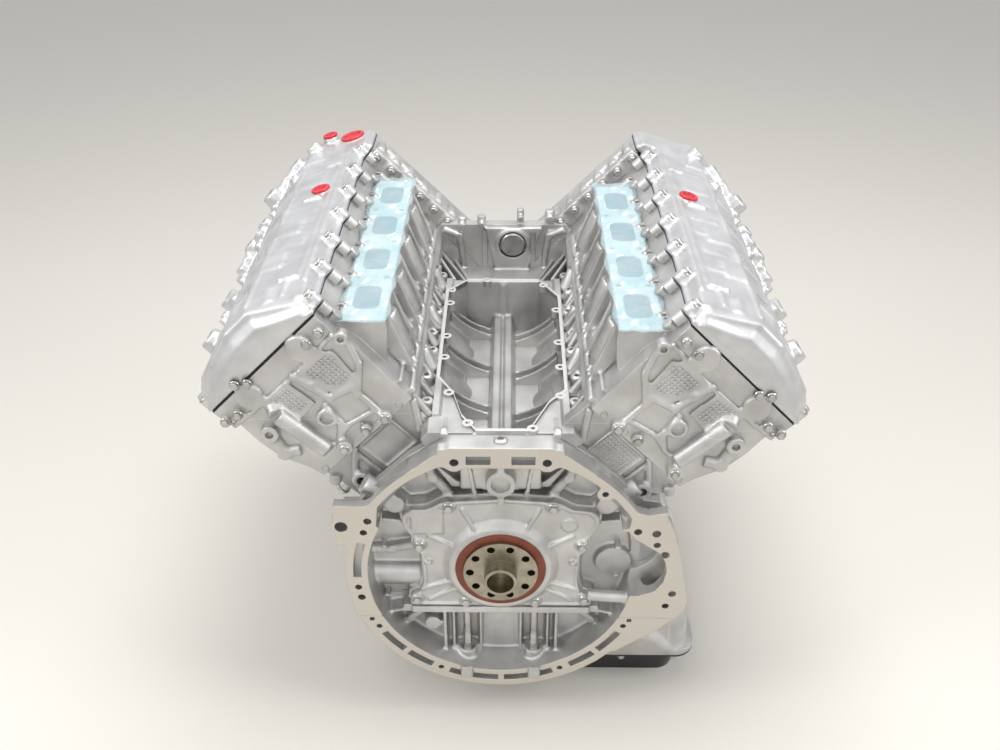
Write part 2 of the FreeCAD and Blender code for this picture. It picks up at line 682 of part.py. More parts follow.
def intake_gasket(side):
    y = (INTAKE_FLANGE_REAR + INTAKE_FLANGE_FRONT) / 2
    plate = intake_frame(y, INTAKE_FLANGE_FRONT - INTAKE_FLANGE_REAR, INTAKE_GASKET_WIDTH,
                         0, INTAKE_GASKET)
    return bank(minus(plate, *intake_ports(side, -1, INTAKE_GASKET + 3, 4)), side)


def intake_film(side):
    y = (INTAKE_FLANGE_REAR + INTAKE_FLANGE_FRONT) / 2
    plate = intake_frame(y, INTAKE_FLANGE_FRONT - INTAKE_FLANGE_REAR - 4, INTAKE_GASKET_WIDTH - 2,
                         INTAKE_GASKET, INTAKE_FILM)
    return bank(plate, side)


def cam_ys():
    """Rear, middle and front bearing places of both camshafts."""
    rear = FIRST_BORE_Y - BORE_PITCH / 2
    return [rear + BORE_PITCH * i for i in range(CYLINDERS_PER_BANK + 1)]


def cam_housing(side):
    front = bank_y(BLOCK_FRONT, side)
    outline = [(-93, HEAD_TOP), (84, HEAD_TOP), (COVER_HALF_WIDTH, 384), (COVER_HALF_WIDTH, COVER_LINE),
               (-COVER_HALF_WIDTH, COVER_LINE), (-COVER_HALF_WIDTH, 380)]
    body = slab_y(outline, (HEAD_REAR, front))
    wall = HOUSING_WALL
    room = box((-93 + wall, 84 - wall), (HEAD_REAR + wall, front - wall), (HEAD_TOP - 1, COVER_LINE + 1))
    bridges = [box((-90, 82), (y - CAM_BRIDGE / 2, y + CAM_BRIDGE / 2), (HEAD_TOP, CAM_LINE)) for y in cam_ys()]
    bosses = [bar(COVER_BOSS, (x, y, COVER_LINE - 14), (x, y, COVER_LINE)) for x, y in cover_boss_points()]
    body = join(minus(body, room), *(bridges + bosses))
    tools = [bar(CAM_JOURNAL + RUNNING_CLEARANCE, (x, HEAD_REAR + wall, CAM_LINE), (x, front + 1, CAM_LINE))
             for x in (INTAKE_CAM, EXHAUST_CAM)]
    return bank(minus(body, *tools), side)


def cam_bearing_caps(side):
    caps = []
    for y in cam_ys():
        for x in (INTAKE_CAM, EXHAUST_CAM):
            cap = box((x - 26, x + 26), (y - CAM_BRIDGE / 2, y + CAM_BRIDGE / 2), (CAM_LINE, CAM_LINE + 19))
            caps.append(bank(cap.cut(bar(CAM_JOURNAL + RUNNING_CLEARANCE, (x, y - 20, CAM_LINE),
                                         (x, y + 20, CAM_LINE))), side))
    return Part.makeCompound(caps)


def camshaft(side, x, chain_ys):
    """Shaft with journals, two lobes to a cylinder and a nose that carries its sprockets."""
    front = bank_y(max(chain_ys) + CHAIN_WIDTH / 2 + 3, side)
    pieces = [bar(CAM_SHAFT, (x, HEAD_REAR + HOUSING_WALL + 3, CAM_LINE), (x, front, CAM_LINE))]
    for y in cam_ys():
        pieces.append(bar(CAM_JOURNAL, (x, y - CAM_BRIDGE / 2 - 1, CAM_LINE), (x, y + CAM_BRIDGE / 2 + 1, CAM_LINE)))
    for i, y in enumerate(bore_ys()):
        phase = 40.0 + PIN_PHASES[i] / 2 + (110.0 if x > 0 else 0.0)
        turn = math.radians(phase)
        reach = CAM_BASE + CAM_LIFT - CAM_NOSE
        tip = (x + reach * math.sin(turn), CAM_LINE + reach * math.cos(turn))
        for s in (-1, 1):
            mid = y + s * LOBE_SPACING / 2
            pieces.append(hull_of_circles((x, CAM_LINE), CAM_BASE, tip, CAM_NOSE,
                                          (mid - LOBE_WIDTH / 2, mid + LOBE_WIDTH / 2)))
    return bank(join(*pieces), side)


def cover_plan(side, inset, z):
    """Outline of the joint under a cam cover, wider inboard where it spans the timing cover."""
    face = bank_y(BLOCK_FRONT, side)
    front = bank_y(BLOCK_FRONT + TIMING_DEPTH, side)
    w = COVER_HALF_WIDTH - inset
    wide = TIMING_INBOARD - inset
    plan = [(-w, HEAD_REAR + inset), (w, HEAD_REAR + inset), (w, front - inset), (-wide, front - inset),
            (-wide, face + inset), (-w, face + inset)]
    return slab_z(plan, z)


def cam_cover_gasket(side):
    ring = cover_plan(side, 0, (COVER_LINE, COVER_LINE + COVER_GASKET))
    return bank(ring.cut(cover_plan(side, TIMING_WALL, (COVER_LINE - 1, COVER_LINE + 3))), side)


def cover_crown(inset, inboard, span, base):
    """Arched section of a cam cover, pushed along the bank."""
    w = COVER_HALF_WIDTH - inset
    top = COVER_TOP - inset
    profile = [(w, base), (w, 418), (82 - inset / 2, 433 - inset / 2), (46, top), (-46, top),
               (-inboard + 12 + inset / 2, 433 - inset / 2), (-inboard + inset, 416), (-inboard + inset, base)]
    return slab_y(profile, span)


def long_ridges(shape):
    """Edges of a cover that run along the bank above its straight sides."""
    return [e for e in shape.Edges if e.Length > 100 and e.BoundBox.ZMin > 410]


def cam_cover(side):
    face = bank_y(BLOCK_FRONT, side)
    front = bank_y(BLOCK_FRONT + TIMING_DEPTH, side)
    low = COVER_LINE + COVER_GASKET
    outer = cover_crown(0, COVER_HALF_WIDTH, (HEAD_REAR, front), low)
    rear_edges = [e for e in outer.Edges if e.BoundBox.ZMin > 415 and e.BoundBox.YMax < HEAD_REAR + 0.1]
    outer = outer.makeFillet(9, long_ridges(outer) + rear_edges)
    outer = outer.fuse(cover_crown(0, TIMING_INBOARD, (face, front), low))
    inner = cover_crown(COVER_WALL, COVER_HALF_WIDTH, (HEAD_REAR + COVER_WALL, front - COVER_WALL), low - 1)
    inner = inner.fuse(cover_crown(COVER_WALL, TIMING_INBOARD, (face + COVER_WALL, front - COVER_WALL), low - 1))
    bosses = [bar(COVER_BOSS, (x, y, low), (x, y, COVER_BOSS_TOP)) for x, y in cover_boss_points()]
    pads = [box((-52, 40), (y - 13, y + 13), (COVER_TOP - 6, COVER_TOP + 3)) for y in bore_ys()[:3]]
    towers = [bar(15, (66, y, 418), (66, y, COVER_TOP - 1)) for y in bore_ys()]
    ports = [bar(9, (66, y, 436), (66, y, COVER_TOP)) for y in bore_ys()]
    necks = []
    for neck_side, x, y, radius in CAP_PLACES:
        if neck_side == side:
            necks.append(bar(radius + RED_CAP_LIP, (x, y, COVER_TOP - 9), (x, y, COVER_TOP + COVER_NECK)))
    body = join(outer, *(bosses + pads + towers + necks))
    return bank(minus(body, inner, *ports), side)


# ---------------------------------------------------------------- chain drive

def sprocket(centre, pitch_radius, y, teeth, hole):
    """Toothed wheel of a roller chain."""
    outline = []
    for i in range(teeth):
        for share, radius in ((0.10, pitch_radius - TOOTH_ROOT), (0.36, pitch_radius + TOOTH_TIP),
                              (0.64, pitch_radius + TOOTH_TIP), (0.90, pitch_radius - TOOTH_ROOT)):
            turn = 2 * math.pi * (i + share) / teeth
            outline.append((centre[0] + radius * math.cos(turn), centre[1] + radius * math.sin(turn)))
    wheel = slab_y(outline, (y - TOOTH_WIDTH / 2, y + TOOTH_WIDTH / 2))
    return wheel.cut(bar(hole, (centre[0], y - 9, centre[1]), (centre[0], y + 9, centre[1])))


def cam_sprockets(side, x, chain_ys, radii):
    """Sprockets of one camshaft, joined by a hub."""
    wheels = []
    for y, radius in zip(chain_ys, radii):
        teeth = int(round(radius / CRANK_SPROCKET * 18))
        wheels.append(sprocket((x, CAM_LINE), radius, bank_y(y, side), teeth, CAM_SHAFT))
    low = bank_y(min(chain_ys), side) - 5
    high = bank_y(max(chain_ys), side) + 5
    hub = bar(22, (x, low, CAM_LINE), (x, high, CAM_LINE))
    hub = hub.cut(bar(CAM_SHAFT, (x, low - 1, CAM_LINE), (x, high + 1, CAM_LINE)))
    return bank(join(wheels[0], *(wheels[1:] + [hub])), side)


def chain(first, first_radius, second, second_radius, y):
    """Closed chain: a band whose side plates straddle the teeth."""
    span = (y - CHAIN_WIDTH / 2, y + CHAIN_WIDTH / 2)
    slot = (y - TOOTH_WIDTH / 2 - 0.4, y + TOOTH_WIDTH / 2 + 0.4)

    def loop(grow, width):
        return hull_of_circles(first, first_radius + grow, second, second_radius + grow, width)

    band = loop(CHAIN_DEPTH, span).cut(loop(-CHAIN_DEPTH + 1, (span[0] - 1, span[1] + 1)))
    return band.cut(loop(TOOTH_TIP + CHAIN_CLEARANCE, slot))


def primary_y(side):
    return REAR_CHAIN_Y if side == "right" else FRONT_CHAIN_Y


def secondary_y(side):
    return FRONT_CHAIN_Y if side == "right" else REAR_CHAIN_Y


def primary_chain(side):
    y = bank_y(primary_y(side), side)
    return bank(chain((INTAKE_CAM, CAM_LINE), CAM_SPROCKET, (0.0, 0.0), CRANK_SPROCKET, y), side)


def secondary_chain(side):
    y = bank_y(secondary_y(side), side)
    return bank(chain((INTAKE_CAM, CAM_LINE), LINK_SPROCKET + 0.01, (EXHAUST_CAM, CAM_LINE), LINK_SPROCKET, y), side)


def crank_sprocket():
    wheels = [sprocket((0, 0), CRANK_SPROCKET, y, 18, SNOUT_RADIUS) for y in (REAR_CHAIN_Y, FRONT_CHAIN_Y)]
    hub_radius = CRANK_SPROCKET - CHAIN_DEPTH + 1 - CHAIN_CLEARANCE
    hub = bar(hub_radius, (0, REAR_CHAIN_Y - 8, 0), (0, FRONT_CHAIN_Y + 8, 0))
    hub = hub.cut(bar(SNOUT_RADIUS, (0, REAR_CHAIN_Y - 20, 0), (0, FRONT_CHAIN_Y + 20, 0)))
    return join(wheels[0], wheels[1], hub)


def chain_guides():
    """Rails that hold the two long runs of each primary chain, on pins from the front face."""
    rails = []
    top = V(INTAKE_CAM, 0, CAM_LINE)
    lean = math.acos((CAM_SPROCKET - CRANK_SPROCKET) / top.Length)
    heading = math.atan2(-CAM_LINE, -INTAKE_CAM)
    inside = CHAIN_DEPTH + GUIDE_CLEARANCE
    for side in SIDES:
        y = bank_y(primary_y(side), side)
        face = bank_y(BLOCK_FRONT, side)
        span = (y - CHAIN_WIDTH / 2, y + CHAIN_WIDTH / 2)
        first = (INTAKE_CAM, CAM_LINE)
        shell = hull_of_circles(first, CAM_SPROCKET + inside + GUIDE_DEPTH, (0, 0),
                                CRANK_SPROCKET + inside + GUIDE_DEPTH, span)
        room = hull_of_circles(first, CAM_SPROCKET + inside, (0, 0), CRANK_SPROCKET + inside,
                               (span[0] - 1, span[1] + 1))
        for sign in (-1, 1):
            keep = box((-120, 60), span, (90, 300))
            rail = shell.cut(room).common(keep)
            normal = (math.cos(heading + sign * lean), math.sin(heading + sign * lean))
            pins = []
            for share in (0.36, 0.68):
                reach = CAM_SPROCKET + share * (CRANK_SPROCKET - CAM_SPROCKET) + inside + GUIDE_DEPTH / 2
                x = INTAKE_CAM * (1 - share) + reach * normal[0]
                z = CAM_LINE * (1 - share) + reach * normal[1]
                pins.append(bar(GUIDE_DEPTH / 2 - 0.4, (x, face, z), (x, span[0] + 1, z)))
            near = min(rail.Solids, key=lambda solid: abs(solid.CenterOfMass.x - x))
            rails.append(bank(join(near, *pins), side))
    return Part.makeCompound(rails)


def oil_pump():
    """Ring-shaped pump body round the crank's nose, against the inside of the timing cover."""
    back = BLOCK_FRONT + TIMING_DEPTH - TIMING_WALL
    body = join(bar(50, (0, back - 12, 0), (0, back, 0)), box((-40, 40), (back - 12, back), (-66, 0)))
    return body.cut(bar(SNOUT_RADIUS + RUNNING_CLEARANCE, (0, back - 20, 0), (0, back + 1, 0)))


def timing_cover():
    front = BLOCK_FRONT + TIMING_DEPTH
    outer = [box((-SKIRT, SKIRT), (BLOCK_FRONT, front), (PAN_LINE - PAN_FLANGE, 90))]
    inner = [box((-SKIRT + TIMING_WALL, SKIRT - TIMING_WALL), (BLOCK_FRONT - 1, front - TIMING_WALL),
                 (PAN_LINE - PAN_FLANGE + TIMING_WALL, 84))]
    for side in SIDES:
        ys = (bank_y(BLOCK_FRONT, side), bank_y(front, side))
        outer.append(bank(box((-TIMING_INBOARD, COVER_HALF_WIDTH), ys, (40, COVER_LINE)), side))
        inner.append(bank(box((-TIMING_INBOARD + TIMING_WALL, COVER_HALF_WIDTH - TIMING_WALL),
                              (ys[0] - 1, ys[1] - TIMING_WALL), (30, COVER_LINE + 1)), side))
    outer.append(bar(48, (0, BLOCK_FRONT, 0), (0, front + 8, 0)))
    body = join(*outer)
    room = join(*inner)
    return minus(body, room, bar(FRONT_SEAL_RADIUS, (0, BLOCK_FRONT, 0), (0, front + 9, 0)))


def front_crank_seal():
    front = BLOCK_FRONT + TIMING_DEPTH
    ring = bar(FRONT_SEAL_RADIUS, (0, front - 2, 0), (0, front + 8, 0))
    return ring.cut(bar(SNOUT_RADIUS + RUNNING_CLEARANCE, (0, front - 3, 0), (0, front + 9, 0)))


def timing_cover_bolts():
    front = BLOCK_FRONT + TIMING_DEPTH
    bolts = [hex_head(SMALL_BOLT, SMALL_BOLT_HEAD, (x, front, z), (0, 1, 0))
             for x in (-SKIRT + 10, SKIRT - 10) for z in (PAN_LINE, 0, 70)]
    for side in SIDES:
        for x in (-TIMING_INBOARD + 9, COVER_HALF_WIDTH - 9):
            for z in (250, 315, 380):
                bolts.append(bank(hex_head(SMALL_BOLT, SMALL_BOLT_HEAD, (x, bank_y(front, side), z), (0, 1, 0)), side))
    return Part.makeCompound(bolts)


# ---------------------------------------------------------------- fasteners, caps and pipes

def cover_boss_points():
    """Bolt places along both long edges of a cam cover."""
    places = []
    reach = COVER_HALF_WIDTH + SMALL_BOLT / math.sqrt(3) + 0.5
    for x in (-reach, reach):
        for i in range(COVER_BOLTS):
            places.append((x, HEAD_REAR + 22 + i * COVER_BOLT_PITCH))
    return places


def cam_cover_bolts():
    bolts = []
    for side in SIDES:
        for x, y in cover_boss_points():
            bolts.append(bank(hex_head(SMALL_BOLT, SMALL_BOLT_HEAD, (x, y, COVER_BOSS_TOP), (0, 0, 1)), side))
    return Part.makeCompound(bolts)


def red_caps():
    """Push-in shipping caps that close the open ports of the cam covers."""
    caps = []
    for side, x, y, radius in CAP_PLACES:
        base = COVER_TOP + COVER_NECK
        lip = bar(radius + RED_CAP_LIP, (x, y, base), (x, y, base + RED_CAP_HEIGHT))
        dish = bar(radius - 2, (x, y, base + 1.5), (x, y, base + RED_CAP_HEIGHT + 1))
        caps.append(bank(lip.cut(dish), side))
    return Part.makeCompound(caps)


def core_plugs():
    """Pressed plugs: one above the rear seal, one in the front wall of the valley."""
    rear = bar(REAR_PLUG_RADIUS, (0, REAR_WALL - 6, REAR_PLUG_Z), (0, REAR_WALL, REAR_PLUG_Z))
    face = BLOCK_FRONT - 16
    front = bar(FRONT_PLUG_RADIUS, (13, face - 8, 196), (13, face, 196))
    cup = bar(FRONT_PLUG_RADIUS - 4, (13, face - 9, 196), (13, face - 4, 196))
    return Part.makeCompound([rear, front.cut(cup)])


def coolant_pipe():
    """Short hose nozzle on the left bank's rear flank."""
    start = (BANK_OUTBOARD, BANK_REAR + 40, 190)
    tip = (BANK_OUTBOARD + 36, BANK_REAR + 40, 190)
    ring = bar(PIPE_RADIUS + 1.5, (tip[0] - 5, tip[1], tip[2]), (tip[0] - 2, tip[1], tip[2]))
    pipe = join(bar(PIPE_RADIUS, start, tip), ring)
    return bank(pipe.cut(bar(PIPE_BORE, (start[0] + 4, start[1], start[2]), (tip[0] + 1, tip[1], tip[2]))), "left")


def drain_plug():
    place = (PAN_RIGHT - 70, PAN_REAR + 90, SUMP_BOTTOM + SUMP_WALL)
    return hex_head(17, 6, place, (0, 0, 1))


def export(name, shape):
    shape.exportStep("parts/" + name + ".step")


def main():
    os.makedirs("parts", exist_ok=True)
    export("cylinder_block", cylinder_block())
    export("cylinder_liners", cylinder_liners())
    export("main_bearing_caps", main_bearing_caps())
    export("main_bearing_shells", main_bearing_shells())
    export("main_cap_bolts", main_cap_bolts())
    export("crankshaft", crankshaft())
    export("crank_sprocket", crank_sprocket())
    export("rear_seal_retainer", rear_seal_retainer())
    export("rear_main_seal", rear_main_seal())
    export("retainer_bolts", retainer_bolts())
    export("upper_oil_pan", upper_oil_pan())
    export("oil_sump", oil_sump())
    export("sump_bolts", sump_bolts())
    export("bell_studs", bell_studs())
    export("timing_cover", timing_cover())
    export("front_crank_seal", front_crank_seal())
    export("timing_cover_bolts", timing_cover_bolts())
    export("chain_guides", chain_guides())
    export("oil_pump", oil_pump())
    export("cam_cover_bolts", cam_cover_bolts())
    export("red_caps", red_caps())
    export("core_plugs", core_plugs())
    export("coolant_pipe", coolant_pipe())
    export("drain_plug", drain_plug())
    for side in SIDES:
        export("head_gasket_" + side, head_gasket(side))
        export("head_" + side, head(side))
        export("intake_gasket_" + side, intake_gasket(side))
        export("intake_film_" + side, intake_film(side))
        export("cam_housing_" + side, cam_housing(side))
        export("cam_bearing_caps_" + side, cam_bearing_caps(side))
        export("cam_cover_gasket_" + side, cam_cover_gasket(side))
        export("cam_cover_" + side, cam_cover(side))
        intake_ys = (primary_y(side), secondary_y(side))
        exhaust_ys = (secondary_y(side),)
        export("intake_camshaft_" + side, camshaft(side, INTAKE_CAM, intake_ys))
        export("exhaust_camshaft_" + side, camshaft(side, EXHAUST_CAM, exhaust_ys))
        export("intake_sprocket_" + side, cam_sprockets(side, INTAKE_CAM, intake_ys, (CAM_SPROCKET, LINK_SPROCKET)))
        export("exhaust_sprocket_" + side, cam_sprockets(side, EXHAUST_CAM, exhaust_ys, (LINK_SPROCKET,)))
        export("primary_chain_" + side, primary_chain(side))
        export("secondary_chain_" + side, secondary_chain(side))
        for index in range(CYLINDERS_PER_BANK):
            export("piston_%s_%d" % (side, index + 1), piston(index, side))


main()
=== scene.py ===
import math

import bmesh
import bpy
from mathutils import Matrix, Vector


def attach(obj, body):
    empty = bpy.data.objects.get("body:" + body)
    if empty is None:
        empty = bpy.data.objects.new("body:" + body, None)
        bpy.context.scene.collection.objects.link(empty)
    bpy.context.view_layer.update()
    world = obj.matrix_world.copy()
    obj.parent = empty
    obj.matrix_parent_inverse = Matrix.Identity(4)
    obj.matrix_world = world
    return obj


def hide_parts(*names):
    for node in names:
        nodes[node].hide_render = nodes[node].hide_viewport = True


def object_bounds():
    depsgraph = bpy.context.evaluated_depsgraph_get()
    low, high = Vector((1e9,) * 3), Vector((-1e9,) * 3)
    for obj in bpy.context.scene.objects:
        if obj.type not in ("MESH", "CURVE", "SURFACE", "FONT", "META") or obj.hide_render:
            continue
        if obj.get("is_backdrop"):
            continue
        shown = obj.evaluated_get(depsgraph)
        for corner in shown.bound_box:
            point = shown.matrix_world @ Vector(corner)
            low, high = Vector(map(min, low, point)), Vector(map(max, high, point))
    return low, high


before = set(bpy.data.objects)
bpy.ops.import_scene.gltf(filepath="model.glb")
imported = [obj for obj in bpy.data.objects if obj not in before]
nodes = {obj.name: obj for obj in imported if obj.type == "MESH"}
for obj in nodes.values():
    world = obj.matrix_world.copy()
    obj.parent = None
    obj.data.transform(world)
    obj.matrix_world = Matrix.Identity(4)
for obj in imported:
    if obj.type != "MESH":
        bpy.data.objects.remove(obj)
cad_low, cad_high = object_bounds()

# Studio: a pale floor under the sump, a white surround and soft lamps above the engine.
# The camera looks down on the flywheel end from behind, square to the crankshaft.
CAMERA_PLACE = (0.00964, -1.02954, 0.94374)
CAMERA_TILT = 31.99
CAMERA_PAN = 0.01
CAMERA_LENS = 39.09
CAMERA_SENSOR = 36
AIM = (0, 0.3, 0.1)
FLOOR_GAP = 0.0005
FLOOR_REACH = 14.0


def add_object(name, data):
    """New object in the scene."""
    body = bpy.data.objects.new(name, data)
    bpy.context.scene.collection.objects.link(body)
    return body


camera = add_object("camera", bpy.data.cameras.new("camera"))
camera.location = CAMERA_PLACE
camera.rotation_euler = (math.radians(90 - CAMERA_TILT), 0, CAMERA_PAN)
camera.data.lens = CAMERA_LENS
camera.data.sensor_width = CAMERA_SENSOR
bpy.context.scene.camera = camera
bpy.context.scene.view_settings.view_transform = "Standard"


def lamp(name, place, size, power):
    """Soft square lamp that points at the middle of the engine."""
    light = bpy.data.lights.new(name, "AREA")
    light.size = size
    light.energy = power
    body = add_object(name, light)
    body.location = place
    reach = [a - b for a, b in zip(AIM, place)]
    body.rotation_euler = (math.atan2(math.hypot(reach[0], reach[1]), -reach[2]), 0,
                           math.atan2(reach[1], reach[0]) - math.pi / 2)


lamp("top_lamp", (0.1, 0.5, 2.2), 1.3, 31)
lamp("left_lamp", (-1.8, -0.6, 1.5), 0.9, 18)
lamp("right_lamp", (1.9, -0.4, 1.3), 0.9, 15)
lamp("rear_lamp", (0.0, -2.0, 1.3), 0.8, 6)


def maths(tree, operation, *values):
    """Sum, product or comparison of node outputs and plain numbers."""
    node = tree.nodes.new("ShaderNodeMath")
    node.operation = operation
    for socket, value in zip(node.inputs, values):
        if isinstance(value, bpy.types.NodeSocket):
            tree.links.new(value, socket)
        else:
            socket.default_value = value
    return node.outputs[0]


def seen(tree, strength, lighting, showing):
    """One strength where a surface shows, straight, mirrored or through glass, and another for its light."""
    paths = tree.nodes.new("ShaderNodeLightPath")
    total = paths.outputs["Is Camera Ray"]
    for kind in ("Is Glossy Ray", "Is Transmission Ray"):
        total = maths(tree, "MAXIMUM", total, paths.outputs[kind])
    level = tree.nodes.new("ShaderNodeMapRange")
    tree.links.new(total, level.inputs["Value"])
    level.inputs["To Min"].default_value = lighting
    level.inputs["To Max"].default_value = showing
    tree.links.new(level.outputs["Result"], strength)


world = bpy.data.worlds.new("surround")
bpy.context.scene.world = world
world.use_nodes = True
sky = world.node_tree.nodes["Background"]
sky.inputs["Color"].default_value = (0.95, 0.955, 0.965, 1)
seen(world.node_tree, sky.inputs["Strength"], 0.44, 0.92)

floor_mesh = bpy.data.meshes.new("floor")
floor_corners = ((-1, -1), (1, -1), (1, 1), (-1, 1))
floor_mesh.from_pydata([(x * FLOOR_REACH, y * FLOOR_REACH, cad_low[2] - FLOOR_GAP) for x, y in floor_corners],
                       [], [(0, 1, 2, 3)])
floor = add_object("floor", floor_mesh)
floor_paint = bpy.data.materials.new("floor_paint")
floor_paint.use_nodes = True
paint = floor_paint.node_tree.nodes["Principled BSDF"]
paint.inputs["Base Color"].default_value = (0.78, 0.75, 0.69, 1)
paint.inputs["Roughness"].default_value = 0.7
paint.inputs["Emission Color"].default_value = (0.95, 0.93, 0.90, 1)
seen(floor_paint.node_tree, paint.inputs["Emission Strength"], 0, 0.075)
floor_mesh.materials.append(floor_paint)
floor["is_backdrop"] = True


# Cylinder block: cast aluminium, cast in one with the upper bellhousing, the valley tray and both banks.
# The skin is grainy and soft at its corners, and the faces that are milled after casting are smooth and bright.
MM = 0.001
PARTING = -70.0
RING = 196.0
RING_BAND = 7.5
RING_BORE = 168.0
RING_DEPTH = 16.0
BELL_DEPTH = 50.0
BELL_WALL = 58.0
RIM = 203.6
CLEAR = 262
SLOT_MIDDLE = 181.0
SLOT_WIDTH = 10.0
SLOT_DEPTH = 12.0
SOFT_STEP = 0.5
SHARP_CAST = 38


def arc(radius, start, end, steps, centre=(0, 0)):
    """Points along an arc, angles in degrees from +X towards +Z."""
    turns = [math.radians(start + (end - start) * i / steps) for i in range(steps + 1)]
    return [(centre[0] + radius * math.cos(t), centre[1] + radius * math.sin(t)) for t in turns]


def disc_above(radius, level):
    """Round outline, cut off square below a level."""
    return [(x, max(z, level)) for x, z in arc(radius, 0, 355, 71)]


def prism_y(outline, near, far, far_outline=None):
    """Outline in X and Z pushed along Y, or drawn out to a second outline."""
    count = len(outline)
    points = [(x, near, z) for x, z in outline] + [(x, far, z) for x, z in far_outline or outline]
    sides = [list(range(count)), list(range(2 * count - 1, count - 1, -1))]
    sides += [[i, (i + 1) % count, count + (i + 1) % count, count + i] for i in range(count)]
    return points, sides


def block(x, y, z):
    """Box between two values on each axis."""
    return prism_y([(x[0], z[0]), (x[1], z[0]), (x[1], z[1]), (x[0], z[1])], y[0], y[1])


def rod(start, end, radius, tip=None, sides=24):
    """Round bar or cone from one place to another."""
    run = Vector(end) - Vector(start)
    turn = run.to_track_quat("Z", "Y")
    points = []
    for place, size in ((start, radius), (end, radius if tip is None else tip)):
        for x, y in arc(size, 0, 360 * (1 - 1 / sides), sides - 1):
            points.append(tuple(Vector(place) + turn @ Vector((x, y, 0))))
    faces = [list(range(sides)), list(range(2 * sides - 1, sides - 1, -1))]
    faces += [[i, (i + 1) % sides, sides + (i + 1) % sides, sides + i] for i in range(sides)]
    return points, faces


def pin(x, z, near, far, radius, tip=None, sides=24):
    """Round bar or cone along Y, the crankshaft's direction."""
    return rod((x, near, z), (x, far, z), radius, tip, sides)


def chain_rod(places, radius):
    """Round rib that follows a few places, with a ball at each bend."""
    shapes = [rod(start, end, radius) for start, end in zip(places, places[1:])]
    return shapes + [pin(x, z, y - radius, y + radius, radius) for x, y, z in places[1:-1]]


def scaled_points(places):
    """Places in millimetres, in the scene's metres."""
    return [(x * MM, y * MM, z * MM) for x, y, z in places]


def build(name, shapes):
    """Object at the origin whose mesh holds closed shapes, with their faces outward."""
    mesh = bpy.data.meshes.new(name)
    points = []
    faces = []
    for shape_points, shape_faces in shapes:
        start = len(points)
        points += scaled_points(shape_points)
        faces += [[start + i for i in face] for face in shape_faces]
    mesh.from_pydata(points, [], faces)
    work = bmesh.new()
    work.from_mesh(mesh)
    bmesh.ops.recalc_face_normals(work, faces=work.faces)
    work.to_mesh(mesh)
    work.free()
    return add_object(name, mesh)


def settle(body):
    """Modifiers taken into the mesh."""
    bpy.context.view_layer.update()
    mesh = bpy.data.meshes.new_from_object(body.evaluated_get(bpy.context.evaluated_depsgraph_get()))
    body.modifiers.clear()
    old = body.data
    body.data = mesh
    bpy.data.meshes.remove(old)
    mesh.name = body.name


def melt(body, voxel, rounds):
    """Overlapping shapes run together into one skin with soft inner and outer corners."""
    skin = body.modifiers.new("skin", "REMESH")
    skin.mode = "VOXEL"
    skin.voxel_size = voxel * MM
    if rounds:
        soft = body.modifiers.new("soft", "SMOOTH")
        soft.factor = SOFT_STEP
        soft.iterations = rounds
    settle(body)


def combine(body, shapes, operation="DIFFERENCE", solver="EXACT"):
    """Shapes cut out of a body, or joined to it, one after another."""
    tools = []
    for shape in shapes:
        tool = shape if isinstance(shape, bpy.types.Object) else build("tool", [shape])
        step = body.modifiers.new("step", "BOOLEAN")
        step.object = tool
        step.operation = operation
        step.solver = solver
        tools.append(tool)
    settle(body)
    for tool in tools:
        mesh = tool.data
        bpy.data.objects.remove(tool)
        bpy.data.meshes.remove(mesh)


def carve(body, shapes):
    """Cuts through a skin that is already one closed piece."""
    combine(body, shapes, solver="MANIFOLD")


def casting(name, solids, cuts=(), added=(), milled=(), voxel=2.0, rounds=3, keep=0.5):
    """Cast piece: solids less their hollows, then what is cast inside, then what is milled and drilled."""
    body = build(name, solids)
    melt(body, voxel, 0)
    if cuts:
        carve(body, cuts)
    if added:
        more = build("more", added)
        work = bmesh.new()
        work.from_mesh(body.data)
        work.from_mesh(more.data)
        work.to_mesh(body.data)
        work.free()
        bpy.data.objects.remove(more)
    melt(body, voxel, rounds)
    thin = body.modifiers.new("thin", "DECIMATE")
    thin.ratio = keep
    settle(body)
    if milled:
        carve(body, milled)
    body.data.shade_smooth()
    body.data.set_sharp_from_angle(angle=math.radians(SHARP_CAST))
    return body


def shader(name, colour, metal, rough):
    """New material with its own shader; returns the material, its tree and the shader."""
    material = bpy.data.materials.new(name)
    material.use_nodes = True
    tree = material.node_tree
    surface = tree.nodes["Principled BSDF"]
    surface.inputs["Base Color"].default_value = (*colour, 1)
    surface.inputs["Metallic"].default_value = metal
    surface.inputs["Roughness"].default_value = rough
    return material, tree, surface


def noise(tree, place, scale, detail):
    """Noise read at a place, with its own scale."""
    node = tree.nodes.new("ShaderNodeTexNoise")
    node.inputs["Scale"].default_value = scale
    node.inputs["Detail"].default_value = detail
    tree.links.new(place, node.inputs["Vector"])
    return node.outputs["Fac"]


def ramp(tree, value, low, high):
    """Two colours spread over the middle of a value."""
    node = tree.nodes.new("ShaderNodeValToRGB")
    for element, position, colour in zip(node.color_ramp.elements, (0.3, 0.7), (low, high)):
        element.position = position
        element.color = (*colour, 1)
    tree.links.new(value, node.inputs["Fac"])
    return node.outputs["Color"]


